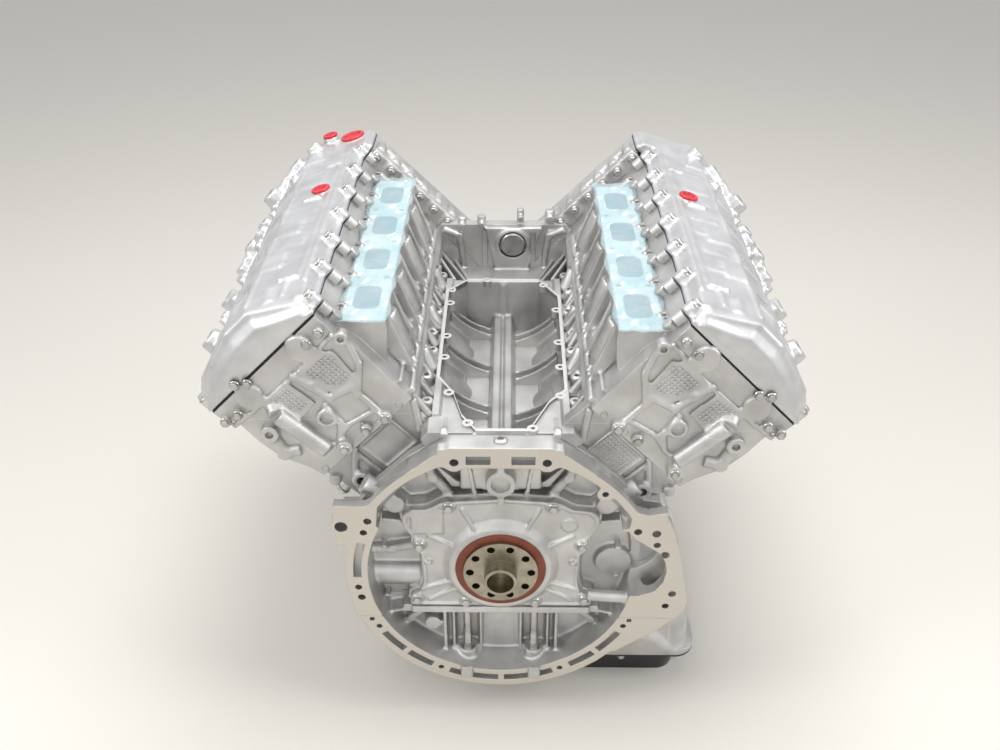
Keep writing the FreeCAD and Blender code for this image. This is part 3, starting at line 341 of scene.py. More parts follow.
def grain(tree, surface, scale, height, blotch, low, high, round_edge, rough=(0.4, 0.5)):
    """Metal skin: grain in its height, light and dark patches in its colour, dull and bright ones in its gloss."""
    place = tree.nodes.new("ShaderNodeTexCoord").outputs["Object"]
    bump = tree.nodes.new("ShaderNodeBump")
    bump.inputs["Distance"].default_value = height
    bump.inputs["Strength"].default_value = 0.6
    tree.links.new(noise(tree, place, scale, 4), bump.inputs["Height"])
    if round_edge:
        corner = tree.nodes.new("ShaderNodeBevel")
        corner.samples = 4
        corner.inputs["Radius"].default_value = round_edge
        tree.links.new(corner.outputs["Normal"], bump.inputs["Normal"])
    tree.links.new(bump.outputs["Normal"], surface.inputs["Normal"])
    patches = noise(tree, place, blotch, 6)
    colour = ramp(tree, patches, low, high)
    tree.links.new(colour, surface.inputs["Base Color"])
    gloss = tree.nodes.new("ShaderNodeMapRange")
    gloss.inputs["To Min"].default_value = rough[0]
    gloss.inputs["To Max"].default_value = rough[1]
    tree.links.new(patches, gloss.inputs["Value"])
    tree.links.new(gloss.outputs["Result"], surface.inputs["Roughness"])
    return place, colour


def milled_face(tree, surface, place, colour, axis, low, high, tint):
    """Cast skin that turns smooth and bright between two levels along an axis, where it is milled flat."""
    split = tree.nodes.new("ShaderNodeSeparateXYZ")
    tree.links.new(place, split.inputs["Vector"])
    level = split.outputs[axis]
    mix = tree.nodes.new("ShaderNodeMix")
    mix.data_type = "RGBA"
    between = maths(tree, "MULTIPLY", maths(tree, "GREATER_THAN", level, low), maths(tree, "LESS_THAN", level, high))
    tree.links.new(between, mix.inputs["Factor"])
    tree.links.new(colour, mix.inputs["A"])
    mix.inputs["B"].default_value = (*tint, 1)
    tree.links.new(mix.outputs["Result"], surface.inputs["Base Color"])
    return mix.outputs["Result"]


def finish(piece, material, *replaced):
    """Finish a new piece, fix it to the block and let it stand for solids of the frame."""
    piece.data.materials.clear()
    piece.data.materials.append(material)
    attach(piece, "engine")
    if replaced:
        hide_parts(*replaced)


def merged_copy(node, name):
    """Copy of a solid of the frame with its loose triangles joined, ready to be cut."""
    mesh = nodes[node].data.copy()
    work = bmesh.new()
    work.from_mesh(mesh)
    bmesh.ops.remove_doubles(work, verts=work.verts, dist=0.000002)
    work.to_mesh(mesh)
    work.free()
    mesh.name = name
    return add_object(name, mesh)


def ring_slot(start, end):
    """Slot that follows the bellhousing's ring between two angles."""
    outer = arc(SLOT_MIDDLE + SLOT_WIDTH / 2, start, end, 14)
    return prism_y(outer + arc(SLOT_MIDDLE - SLOT_WIDTH / 2, end, start, 14), -2, SLOT_DEPTH)


cast_skin, tree, surface = shader("cast_aluminium_skin", (0.6, 0.6, 0.6), 0.85, 0.45)
place, colour = grain(tree, surface, 900, 0.0005, 22, (0.46, 0.455, 0.445), (0.66, 0.655, 0.64), 0.0018,
                      (0.36, 0.52))
colour = milled_face(tree, surface, place, colour, "Y", -0.001, 0.0003, (0.62, 0.585, 0.53))
milled_face(tree, surface, place, colour, "Z", 0.2037, 0.2042, (0.74, 0.73, 0.71))

retainer_half = [(0, 107), (56, 103), (74, 101), (90, 91), (114, 88), (123, 80), (124, 68), (116, 52), (110, 44),
                 (112, 30), (107, 22), (101, 18), (100, -28), (104, -46), (117, -52), (119, -64), (117, -69.8)]
retainer_edge = retainer_half + [(-x, z) for x, z in reversed(retainer_half[1:])]

block_core = merged_copy("cylinder_block", "block_core")
mouth_front = arc(RING - RING_BAND, 24.4, 155.6, 40)
mouth_back = arc(160, 29.2, 150.8, 40)
carve(block_core, [block((-CLEAR, CLEAR), (-2, 31), (PARTING - 2, 205)),
                   prism_y(disc_above(RING_BORE, PARTING - 1), 28, 54),
                   prism_y(arc(172, 27, 153, 40), 28, 54, mouth_back),
                   block((-97, 97), (429, 541), (166, 262)), block((-100, 100), (62, 429), (RIM + 0.05, 262)),
                   block((84.5, 100), (64, 429), (195, 262)), block((-100, -84.5), (64, 429), (195, 262))])
finish(block_core, cast_skin, "cylinder_block")

ridge = [(-112, 140), (-112, 162), (-84, 184), (-62, 199), (62, 199), (84, 184), (112, 162), (112, 140)]
right_ear = [(140, 112), (170, 103), (196, 95), (207, 86), (217, 62), (226, 30), (230, 8), (240, -38), (238, -54),
             (228, PARTING), (140, PARTING)]
left_ear = [(-150, PARTING), (-187, PARTING), (-194, 0), (-190, 46), (-200, 62), (-210, 79), (-205, 93), (-186, 97),
            (-150, 120)]
shell = [prism_y(disc_above(RING, PARTING), -3, RING_DEPTH),
         prism_y(disc_above(RING - 3, PARTING), 0, BELL_WALL, disc_above(178, PARTING)),
         prism_y(ridge, -3, 31), prism_y(right_ear, -3, RING_DEPTH), prism_y(left_ear, -3, RING_DEPTH),
         pin(206, 36, 4, 30, 16), pin(212, -40, 4, 26, 14), pin(-196, 79, 4, 26, 14)]
starter = [(112, 58), (157, 76), (165, 64), (184, 50), (198, 40), (206, 26), (209, 10), (206, -8), (196, -24),
           (176, -32), (112, -32)]
mouth = [prism_y(mouth_front, -4, BELL_DEPTH, mouth_back),
         prism_y(disc_above(RING_BORE, PARTING - 4), -4, BELL_DEPTH), prism_y(starter, -4, 44)]
inside = [prism_y([(x * 1.03, z * 1.03 if z > 0 else z) for x, z in retainer_edge], 30, 56),
          prism_y([(-69, 171), (-44, 170), (44, 170), (69, 171), (76, 197), (-76, 197)], -3, RING_DEPTH),
          prism_y([(-204, 112), (-150, 109), (-152, 88), (-155, 66), (-168, 50), (-204, 50)], -3, RING_DEPTH),
          prism_y([(204, 104), (166, 97), (160, 93), (158, 78), (164, 65), (204, 52)], -3, RING_DEPTH),
          pin(0, 134, 14, 54, 19), block((-4.5, 4.5), (16, 54), (100, 172)),
          rod((-166, 52, -36), (-98, 52, -36), 19), pin(126, 132, -3, 54, 10), pin(146, -10, 40, 56, 24)]
for s in (-1, 1):
    inside += chain_rod([(s * 108, 43, 72), (s * 132, 40, 92), (s * 170, 40, 118)], 13)
    inside += chain_rod([(s * 62, 40, 100), (s * 84, 36, 132), (s * 98, 40, 164)], 7)
    inside.append(prism_y([(s * 28, 100), (s * 34, 100), (s * 44, 170), (s * 38, 170)], 28, 54))
    inside.append(pin(s * 55, 178, -3, RING_DEPTH, 13))
    inside.append(prism_y([(s * 100, 60), (s * 150, 66), (s * 150, 60), (s * 100, 54)], 34, 54))
inside += chain_rod([(112, 12, -41), (170, 11, -44), (204, 11, -40), (216, 11, -16)], 8)
inside += chain_rod([(-110, 40, 20), (-140, 44, 10), (-165, 44, 8)], 7)
drilled = [block((-CLEAR, CLEAR), (-12, 0), (PARTING - 4, 210)),
           block((-CLEAR, CLEAR), (-12, 70), (PARTING - 20, PARTING)),
           pin(0, 0, -2, 59, 60.5, sides=64),
           block((-41, -12), (-2, SLOT_DEPTH), (175, 187)), block((13, 41), (-2, SLOT_DEPTH), (175, 187)),
           pin(0, 134, 13, 20, 12), ring_slot(163, 181)]
upper_holes = [(-55, 178, 5.5), (55, 178, 5.5), (169, 74, 5), (192, 71, 5.5), (194, 53, 4.5), (205, 37, 5.5),
               (219, -28, 5), (212, -49, 4.5), (126, 132, 4), (-196, 79, 8), (-163, 88, 5), (-169, 70, 4.5),
               (-181, -20, 4.5), (-178, -37, 5)]
drilled += [pin(x, z, -2, 22, radius) for x, z, radius in upper_holes]
finish(casting("bell_upper", shell, mouth, inside, drilled), cast_skin)


# Lower bellhousing and upper pan: one aluminium casting under the block, with the lower half of the ring,
# pockets cast through the ring, and two bosses that long bolts stand in.
LOWER_DEPTH = 44.0
STUD_X = 44.5
STUD_Y = 29.0


def disc_below(radius, level):
    """Round outline, cut off square above a level."""
    return [(x, min(z, level)) for x, z in arc(radius, 0, 355, 71)]


pan_core = merged_copy("upper_oil_pan", "pan_core")
carve(pan_core, [block((-CLEAR, CLEAR), (-2, 50), (-CLEAR, PARTING + 1))])
finish(pan_core, cast_skin, "upper_oil_pan")
shell = [prism_y(disc_below(RING, PARTING), -3, RING_DEPTH),
         prism_y(disc_below(RING - 3, PARTING), 0, LOWER_DEPTH + 9, disc_below(180, PARTING)),
         prism_y([(140, PARTING), (226, PARTING), (206, -90), (150, -132)], -3, RING_DEPTH)]
inside = [block((-128, 128), (22, 53), (-82, PARTING)), block((-116, 116), (18, 53), (-80, PARTING)),
          pin(-90, -106, 24, 46, 11)]
for s in (-1, 1):
    inside.append(rod((s * STUD_X, STUD_Y, -186), (s * STUD_X, STUD_Y, -150), 13))
    inside.append(block((s * STUD_X - 15, s * STUD_X + 15), (STUD_Y, 50), (-180, -152)))
    inside += [block((s * STUD_X + a, s * STUD_X + a + 4), (STUD_Y - 2, 46), (-160, -78)) for a in (-20, 16)]
    inside.append(prism_y([(s * 150, -88), (s * 112, -78), (s * 116, -74), (s * 156, -84)], 22, 46))
    inside.append(block((s * 74 - 2, s * 74 + 2), (22, 46), (-158, -78)))
    inside += chain_rod([(s * 96, 34, -80), (s * 120, 36, -104), (s * 128, 40, -118)], 6)
drilled = [block((-CLEAR, CLEAR), (-12, 0), (-CLEAR, PARTING + 4)),
           block((-CLEAR, CLEAR), (-12, 70), (PARTING - 0.4, PARTING + 8))]
drilled += [ring_slot(start, end) for start, end in ((213, 225.5), (228, 240), (248, 269), (271.5, 292.5),
                                                     (300.5, 312.5), (315, 328))]
for angle in (209, 244, 296, 332):
    x, z = arc(SLOT_MIDDLE, angle, angle, 1)[0]
    drilled.append(pin(x, z, -2, 20, 3.8))
drilled += [block((s * 167 - 3, s * 167 + 3), (-2, 8), (-78, -72)) for s in (-1, 1)]
mouth = [prism_y(disc_below(RING_BORE, PARTING + 4), -4, LOWER_DEPTH)]
finish(casting("bell_lower", shell, mouth, inside, drilled), cast_skin)


# Rear seal retainer: pressure-cast aluminium plate with a raised rim, a coned boss round the crankshaft and ribs
# that run out from it. Small flange bolts hold it to the block.
RETAINER_FACE = 20.0
RETAINER_BACK = 30.5
SEAL_BORE = 57.5
retainer_bolts = [(s * x, z) for s in (-1, 1) for x, z in ((65, 95), (103, 33), (109, -57), (45, -61))]

rim_inner = [(x * 0.955, z * 0.955) for x, z in retainer_edge]
added = [pin(0, 0, 13, 24, 64, 76, 64), block((-112, -72), (20, 28), (52, 90)),
         pin(86, 66, 20, 28, 10), pin(-60, 22, 20, 28, 8)]
for angle in (28, 62, 118, 152, 202, 213, 327, 337):
    turn = math.radians(angle)
    far = 104 if angle < 180 else 112
    added.append(rod((66 * math.cos(turn), 19, 66 * math.sin(turn)),
                     (far * math.cos(turn), 22, far * math.sin(turn)), 2.6))
added += [pin(x, z, 19, 28, 9) for x, z in retainer_bolts]
added += [pin(x, 5, 17, 28, 4) for x in (-92, 92)]
drilled = [pin(0, 0, 0, 22, SEAL_BORE, sides=64), pin(0, 0, 0, 40, 49.5, sides=64),
           block((-150, 150), (RETAINER_BACK, 60), (-90, 120)), block((-150, 150), (-2, 12), (-90, 120)),
           block((-150, 150), (0, 60), (-90, PARTING))]
retainer = casting("retainer_casting", [prism_y(retainer_edge, RETAINER_FACE, RETAINER_BACK + 3)],
                   [prism_y(rim_inner, 10, 23)], added, drilled, voxel=1.5, keep=0.6)
finish(retainer, cast_skin, "rear_seal_retainer")


# Small flange bolts: steel, with a hexagon head, a chamfered crown and a turned washer face, zinc plated.
# They are screwed into blind holes in the castings. The two long studs stand in the lower bellhousing.
SHARP_TURNED = 30
STUD_THREAD = 5.5
STUD_PITCH = 3


def new_tree(name, *inputs):
    """Node tree with named inputs, for what repeats; returns the tree and its input node."""
    tree = bpy.data.node_groups.new(name, "GeometryNodeTree")
    for label, kind in inputs:
        tree.interface.new_socket(label, in_out="INPUT", socket_type="NodeSocket" + kind)
    tree.interface.new_socket("Mesh", in_out="OUTPUT", socket_type="NodeSocketGeometry")
    return tree, tree.nodes.new("NodeGroupInput")


def scatter(tree, sizes, piece, turn):
    """Put a piece on every point, turned, as real mesh in its finish, and give that out."""
    place = tree.nodes.new("GeometryNodeInstanceOnPoints")
    tree.links.new(sizes.outputs["Points"], place.inputs["Points"])
    tree.links.new(piece, place.inputs["Instance"])
    tree.links.new(turn, place.inputs["Rotation"])
    real = tree.nodes.new("GeometryNodeRealizeInstances")
    tree.links.new(place.outputs[0], real.inputs[0])
    paint = tree.nodes.new("GeometryNodeSetMaterial")
    tree.links.new(real.outputs[0], paint.inputs["Geometry"])
    tree.links.new(sizes.outputs["Finish"], paint.inputs["Material"])
    tree.links.new(paint.outputs[0], tree.nodes.new("NodeGroupOutput").inputs[0])


def cone(tree, sides, low, high, height, rise=None):
    """Closed cone or cylinder that stands on its seat, or is raised from it."""
    shape = tree.nodes.new("GeometryNodeMeshCone")
    shape.inputs["Vertices"].default_value = sides
    for socket, value in (("Radius Bottom", low), ("Radius Top", high), ("Depth", height)):
        tree.links.new(value, shape.inputs[socket])
    if rise is None:
        return shape.outputs["Mesh"]
    lift = tree.nodes.new("GeometryNodeTransform")
    offset = tree.nodes.new("ShaderNodeCombineXYZ")
    tree.links.new(rise, offset.inputs["Z"])
    tree.links.new(offset.outputs[0], lift.inputs["Translation"])
    tree.links.new(shape.outputs["Mesh"], lift.inputs["Geometry"])
    return lift.outputs["Geometry"]


def grow(name, places, tree, **values):
    """Mesh that a tree makes on points given in millimetres."""
    mesh = bpy.data.meshes.new(name)
    mesh.from_pydata(scaled_points(places), [], [])
    piece = add_object(name, mesh)
    modifier = piece.modifiers.new("grow", "NODES")
    modifier.node_group = tree
    for item in tree.interface.items_tree:
        if item.in_out == "INPUT" and item.name in values:
            modifier[item.identifier] = values[item.name]
    settle(piece)
    return piece


bolt_tree, sizes = new_tree("flange_bolts", ("Points", "Geometry"), ("Flats", "Float"), ("Height", "Float"),
                            ("Washer", "Float"), ("Direction", "Vector"), ("Finish", "Material"))
flats, height, washer = [sizes.outputs[name] for name in ("Flats", "Height", "Washer")]
corner = maths(bolt_tree, "MULTIPLY", flats, 0.577)
crown = maths(bolt_tree, "MULTIPLY", flats, 0.46)
washer_top = maths(bolt_tree, "MULTIPLY", washer, 0.86)
washer_depth, hexagon, chamfer = [maths(bolt_tree, "MULTIPLY", height, share) for share in (0.25, 0.82, 0.18)]
parts = bolt_tree.nodes.new("GeometryNodeJoinGeometry")
for part in (cone(bolt_tree, 20, washer, washer_top, washer_depth), cone(bolt_tree, 6, corner, corner, hexagon),
             cone(bolt_tree, 6, corner, crown, chamfer, hexagon)):
    bolt_tree.links.new(part, parts.inputs["Geometry"])
aim = bolt_tree.nodes.new("FunctionNodeAlignRotationToVector")
aim.axis = "Z"
bolt_tree.links.new(sizes.outputs["Direction"], aim.inputs["Vector"])
scatter(bolt_tree, sizes, parts.outputs[0], aim.outputs["Rotation"])
bolt_steel, tree, surface = shader("bolt_steel", (0.5, 0.49, 0.47), 1.0, 0.3)
grain(tree, surface, 2500, 0.0001, 60, (0.38, 0.37, 0.35), (0.60, 0.59, 0.57), 0.0006, (0.22, 0.38))


def turned(piece):
    """Keep the edges of a turned or pressed piece sharp."""
    piece.data.set_sharp_from_angle(angle=math.radians(SHARP_TURNED))
    return piece


def bolts(name, places, direction, across=10, height=6, washer=7.5):
    """Row of bolts whose seats are given in millimetres, as one mesh."""
    return turned(grow(name, places, bolt_tree, Flats=across * MM, Height=height * MM, Washer=washer * MM,
                       Direction=direction, Finish=bolt_steel))


finish(bolts("retainer_flange_bolts", [(x, 19, z) for x, z in retainer_bolts], (0, -1, 0)), bolt_steel,
       "retainer_bolts")
stud_steps = [(-150, -82, 5, 5, 24)]
stud_steps += [(-149 + STUD_PITCH * i, -147.5 + STUD_PITCH * i, STUD_THREAD, 5, 16) for i in range(8)]
stud_steps += [(-152, -150, 10, 10, 24), (-150, -143, 8.6, 8.6, 6)]
for x, name, replaced in ((-STUD_X, "bell_stud_left", ["bell_studs"]), (STUD_X, "bell_stud_right", [])):
    stud = [rod((x, STUD_Y, low), (x, STUD_Y, high), radius, tip, sides)
            for low, high, radius, tip, sides in stud_steps]
    finish(turned(build(name, stud)), bolt_steel, *replaced)


# Valley tray: the floor between the banks follows the cylinders, with curved webs, a grooved spine down the
# middle and a thin milled rim that carries the tray's small bolts on inward ears.
BANK_SHIFT = 19.0
HALF = math.sqrt(0.5)
SIDES = ("right", "left")
SIGN = {"right": 1, "left": -1}
SHIFT = {"right": 0, "left": BANK_SHIFT}
JACKET = 56.0
BORE_PITCH = 105.5
FIRST_BORE = 113.5
BORES = [FIRST_BORE + BORE_PITCH * i for i in range(4)]
TRAY_SIDE = 84.5
TRAY_FLOOR = 118.0
TRAY_FAR = 428.0
ear_places = [(-76, 351), (-76, 256), (-76, 200), (-66, 114), (-40, 47), (-76, 392), (76, 331), (76, 240), (76, 176),
              (74, 108), (38, 36), (60, 408), (-24, 424)]


def bank_point(side, x, y, up):
    """Place given across, along and up one bank, turned onto the engine."""
    return SIGN[side] * (up + x) * HALF, y + SHIFT[side], (up - x) * HALF


def on_bank(shape, side):
    """Shape given across, along and up one bank, turned into its place on the engine."""
    return [bank_point(side, x, y, up) for x, y, up in shape[0]], shape[1]


def prism_z(outline, low, high):
    """Outline in X and Y pushed along Z."""
    points, sides = prism_y(outline, low, high)
    return [(x, y, z) for x, z, y in points], sides


def tray_outline(inset):
    """Tray rim seen from above: straight sides, clipped far corners and a stepped near end."""
    side = 84 - inset
    far = TRAY_FAR - inset
    near = 30 + inset
    return [(-side, 151), (-61, near + 82), (-48, near + 30), (-30, near), (34, near),
            (60, near + 62), (side, 122), (side, 372), (52, far), (-52, far), (-side, 388)]


def jacket(side, y, radius, low, high):
    """Water jacket round one cylinder, as a bar along its axis."""
    return on_bank(rod((0, y, low), (0, y, high), radius, sides=40), side)


pocket = build("pocket", [prism_z(tray_outline(5), TRAY_FLOOR + 3, RIM + 2)])
jackets = [jacket(side, y, JACKET, 60, 226) for side in SIDES for y in BORES]
carve(pocket, jackets + [on_bank(block((-50, 60), (0, 600), (40, 260)), side) for side in SIDES])
combine(block_core, [pocket])
webs = []
for side in SIDES:
    s = SIGN[side]
    webs.append(prism_y([(s * 44, 114), (s * 84, 154), (s * 84, 150), (s * 60, 114)], 36, 424))
    for y in BORES:
        webs.append(jacket(side, y, JACKET + 0.6, 150, 222))
        for gap in (-62, -44):
            middle = y + gap + SHIFT[side]
            curve = arc(110, 192, 348, 18, (-10 * s, 236))
            web = [(x, z) for x, z in curve if 0 < x * s < 82 and z > TRAY_FLOOR]
            web = [(0, TRAY_FLOOR - 2)] + sorted(web, key=lambda p: p[0] * s) + [(82 * s, TRAY_FLOOR - 2)]
            if 44 < middle < 418:
                webs.append(prism_y(web, middle, middle + 4.5))
spine = [(-21, 112), (-13, 146), (-3.5, 147), (-1.5, 143), (1.5, 143), (3.5, 147), (13, 146), (21, 112)]
webs += [prism_y(spine, 33, 426), prism_y([(-8, 118), (-4, 198), (4, 198), (8, 118)], 418, 428)]
webs += [block((-56, 56), (420, 427.5), (114, 206)), block((-50, 50), (31, 37), (114, 196))]
web_cuts = [on_bank(rod((0, y, 60), (0, y, 240), 49.6, sides=48), side) for side in SIDES for y in BORES]
web_cuts += [block((-200, -TRAY_SIDE), (0, 500), (60, 260)), block((TRAY_SIDE, 200), (0, 500), (60, 260)),
             block((-100, 100), (428.5, 500), (60, 260)), block((-100, 100), (0, 500), (60, 111)),
             block((-100, 100), (0, 500), (203.5, 260))]
finish(casting("valley_webs", webs, web_cuts, voxel=1.8), cast_skin)
rim = build("tray_rim", [prism_z(tray_outline(0), RIM - 7, RIM + 0.3)])
combine(rim, [prism_z(tray_outline(5), RIM - 12, RIM + 5)])
combine(rim, [rod((x, y, RIM - 10), (x, y, RIM + 0.3), 7) for x, y in ear_places], "UNION")
combine(rim, [rod((x, y, RIM - 14), (x, y, RIM + 3), 2.9, sides=16) for x, y in ear_places])
finish(rim, cast_skin)


# Block between the banks: ribs and screw bosses cast on the sloping inner sides of the banks, and the front wall
# with its raised panel, core plug, gussets and small nubs.
FRONT = 544.0
tray_screws = [(s * (92 + 4 * (i % 2)), y, 3 * (i % 3)) for s in (-1, 1)
               for i, y in enumerate((92, 146, 205, 262, 318, 372, 436))]


def bank_slope(x):
    """Height of a bank's inner side at a distance from the middle."""
    return abs(x) + 127.3


lumps = [prism_y([(-30, 238), (61, 239), (36, 158), (-12, 158)], FRONT - 10, FRONT + 6),
         pin(14, 211, FRONT - 14, FRONT + 4, 26, 28), block((-97, 97), (428, 548), (150, 167))]
for x, top, radius in ((-35, 252, 7), (26, 264, 6), (72, 262, 8), (-66, 250, 7)):
    lumps.append(rod((x, FRONT + 8, 225), (x, FRONT + 8, top), radius))
    lumps.append(pin(x, top - 12, FRONT - 6, FRONT + 14, radius - 1))
for s in (-1, 1):
    for outer, inner, low in ((98, 50, 196), (76, 36, 180), (112, 70, 204)):
        lumps.append(prism_z([(s * outer, FRONT + 2), (s * inner, 428), (s * (inner + 6), 428),
                              (s * (outer + 6), FRONT + 2)], 160, low))
    lumps += chain_rod([(s * 96, FRONT, 232), (s * 70, FRONT - 2, 222), (s * 64, FRONT, 170)], 6)
    for i in range(9):
        y = 70 + 42 * i + (8 if s > 0 else 0)
        low = (s * 86, y, 197)
        high = (s * (106 + 5 * (i % 3)), y, bank_slope(104 + 6 * (i % 3)) - 2)
        lumps.append(rod(low, high, 5, 4))
    for y in (118, 232, 346):
        lumps += chain_rod([(s * 90, y, 198), (s * 104, y + 8, 222), (s * 110, y + 34, 236), (s * 94, y + 40, 200)],
                           4.5)
        lumps.append(rod((s * 92, y + 62, 192), (s * 104, y + 70, 224), 13, 9))
    lumps.append(prism_y([(s * 62, 160), (s * 74, 199), (s * 64, 201), (s * 54, 160)], 28, 66))
    lumps.append(prism_y([(s * 26, 160), (s * 36, 199), (s * 28, 201), (s * 20, 160)], 28, 36))
    lumps.append(rod((s * 84, 52, 150), (s * 66, 34, 200), 10, 7))
lumps += [rod((0, 16, 188), (0, 16, 203), 9), rod((-103, 452, 190), (-103, 452, 214), 10)]
drilled = [pin(14, 211, FRONT - 30, FRONT - 4, 22), block((42, 50), (FRONT - 30, FRONT - 1), (192, 230)),
           rod((0, 16, 198), (0, 16, 210), 4.5)]
lumps += [rod((x, y, 190), (x, y, 207 + rise), 9, 8) for x, y, rise in tray_screws]
drilled += [rod((x, y, 202), (x, y, 220), 3.4, sides=16) for x, y, rise in tray_screws]
finish(casting("between_banks", lumps, milled=drilled, voxel=1.8), cast_skin)
plug = build("front_plug_disc", [pin(14, 211, FRONT - 15, FRONT - 13, 17.5, 19.5, 48),
                                 pin(14, 211, FRONT - 13, FRONT - 3, 19.5, 19.5, 48)])
finish(turned(plug), bolt_steel)


# Cylinder heads: sand-cast aluminium, finished at the rear with waffle pads, a thick water neck and ribs,
# and along the inner side with webs under the intake flange. Everything is one casting with the head.
PITCH = 5.2
STUD_MARGIN = 4
LUG_X = {"right": 43, "left": 14}


def all_on_bank(shapes, side):
    """Several shapes turned into their places on one bank."""
    return [on_bank(shape, side) for shape in shapes]


waffle_tree, sizes = new_tree("waffle_pad", ("Points", "Geometry"), ("Width", "Float"), ("Height", "Float"),
                              ("Turn", "Vector"), ("Finish", "Material"))
width, height = sizes.outputs["Width"], sizes.outputs["Height"]
stud = cone(waffle_tree, 4, width, maths(waffle_tree, "MULTIPLY", width, 0.75), height)
scatter(waffle_tree, sizes, stud, sizes.outputs["Turn"])


def inside_outline(x, z, outline):
    """True where a place lies inside an outline."""
    hit = False
    for (x1, z1), (x2, z2) in zip(outline, outline[1:] + outline[:1]):
        if (z1 > z) != (z2 > z) and x < (x2 - x1) * (z - z1) / (z2 - z1) + x1:
            hit = not hit
    return hit


waffle_outlines = ([(-74, 351), (-63, 359), (-23, 359), (-26, 338), (-34, 313), (-66, 306)],
                   [(-2, 361), (42, 364), (38, 342), (21, 318), (-4, 320)])


def rib(points, y, radius):
    """Round rib on the bank's rear or front face, through places given across and up the bank."""
    return chain_rod([(x, y, up) for x, up in points], radius)


for side in SIDES:
    solids = []
    for outline in waffle_outlines:
        solids.append(prism_y(outline, 29.5, 36))
        solids += rib(outline + outline[:2], 30, 2.2)
    solids += rib([(-62, 300), (-23, 311), (-19, 340), (-15, 366)], 30, 5)
    solids += rib([(-92, 366), (-24, 360), (64, 363), (92, 366)], 31, 3.5)
    solids += [rod((37, 26, 340), (34, 26, 266), 11.5, 11), rod((37, 26, 342), (37, 36, 352), 12, 9)]
    solids += [block((26, 46), (24, 40), (262, 340)), pin(66, 330, 22, 40, 12)]
    solids += rib([(66, 332), (78, 298), (60, 286)], 34, 9)
    solids += rib([(-98, 350), (-84, 318), (-52, 292), (-50, 246)], 31, 5)
    solids += rib([(-48, 262), (-10, 270), (24, 262)], 31, 4)
    solids += rib([(-12, 312), (-6, 280), (16, 262)], 31, 4.5)
    solids += [pin(-96, 356, 24, 40, 9), pin(-52, 248, 22, 40, 9),
               pin(0, 296, 24, 38, 13)]
    solids += [pin(LUG_X[side], 254, 18, 60, 10), pin(-22, 252, 24, 50, 8)]
    solids += [pin(x, up, 26, 40, 6.5) for x, up in ((-83, 379), (-62, 379), (72, 374), (91, 378))]
    solids += [pin(x, 380, 27, 40, 17, 20) for x in (-50, 44)]
    solids += [block((-46, 12), (39, 50), (188, 238)), pin(48, 200, 36, 60, 12, 15), pin(74, 222, 40, 60, 8)]
    solids += rib([(18, 238), (52, 207), (66, 180)], 44, 5)
    solids += rib([(24, 236), (24, 190), (40, 170)], 45, 4)
    solids += rib([(-86, 236), (-60, 200), (-56, 176)], 44, 5)
    solids += [pin(x, 246, 36, 60, 7) for x in (-74, -38, 62)]
    for y in BORES:
        for gap in (-30, 30):
            web = [(-134, 325), (-98, 300), (-88, 246), (-98, 246), (-112, 276)]
            solids.append(prism_y(web, y + gap - 3, y + gap + 3))
        solids.append(rod((-112, y, 318), (-92, y, 262), 19, 13))
        solids.append(rod((-96, y + 52, 262), (-104, y + 52, 300), 8, 7))
        solids.append(rod((-92, y - 16, 252), (-104, y - 16, 252), 7, 6))
    solids += [block((-97, -88), (40, 500), (262, 267)), block((-99, -88), (40, 500), (242, 250))]
    for i in range(6):
        y = 60 + 84 * i
        solids.append(rod((-104, y, 372), (-90, y, 372), 8, 9))
        solids.append(rod((-97, y + 30, 345), (-97, y + 30, 366), 7, 7))
    cuts = [block((-44, 10), (30, 42), (192, 234))]
    drilled = [pin(48, 200, 30, 46, 6), pin(66, 330, 18, 30, 5),
               pin(0, 296, 18, 30, 8), pin(-96, 356, 18, 30, 4)]
    drilled += [pin(x, up, 20, 30, 2.5, sides=12) for x, up in ((-29, 386), (-22, 386), (-15, 386), (-8, 386))]
    finish(casting("head_castings_" + side, all_on_bank(solids, side), all_on_bank(cuts, side),
                   milled=all_on_bank(drilled, side), voxel=1.8, rounds=2, keep=0.45), cast_skin)
    studs = []
    for outline in waffle_outlines:
        for x, up in [(i * PITCH, 300 + j * PITCH) for i in range(-16, 10) for j in range(14)]:
            corners = [(x + a, up + b) for a in (-STUD_MARGIN, STUD_MARGIN) for b in (-STUD_MARGIN, STUD_MARGIN)]
            if all(inside_outline(*corner, outline) for corner in corners):
                studs.append(bank_point(side, x, 29.6, up))
    if side == "right":
        studs += [bank_point(side, -40 + i * PITCH, 42.2, 196 + j * PITCH) for i in range(10) for j in range(7)]
    finish(grow("waffle_" + side, studs, waffle_tree, Width=2.6 * MM, Height=1.6 * MM,
                Turn=(math.radians(90), 0, 0), Finish=cast_skin), cast_skin)

rear_seats = [(-22, 24, 252), (31, 29, 393), (43, 29, 402), (-83, 26, 379), (-62, 26, 379), (72, 26, 374),
              (91, 26, 378), (-52, 22, 248), (-74, 36, 246), (-38, 36, 246), (62, 36, 246)]
for side in SIDES:
    seats = [bank_point(side, *seat) for seat in [(LUG_X[side], 18, 254)] + rear_seats]
    finish(bolts("head_rear_bolts_" + side, seats, (0, -1, 0), 9, 5, 6.5), bolt_steel)
    seats = [bank_point(side, -97, 90 + 84 * i, 366) for i in range(6)]
    finish(bolts("intake_bolts_" + side, seats, (0, 0, 1), 8, 6, 6.5), bolt_steel)
    seats = [bank_point(side, -106, 553 - SHIFT[side], 232 + 30 * i) for i in range(6)]
    finish(bolts("front_bolts_" + side, seats, (0, -1, 0), 10, 6, 7.5), bolt_steel)


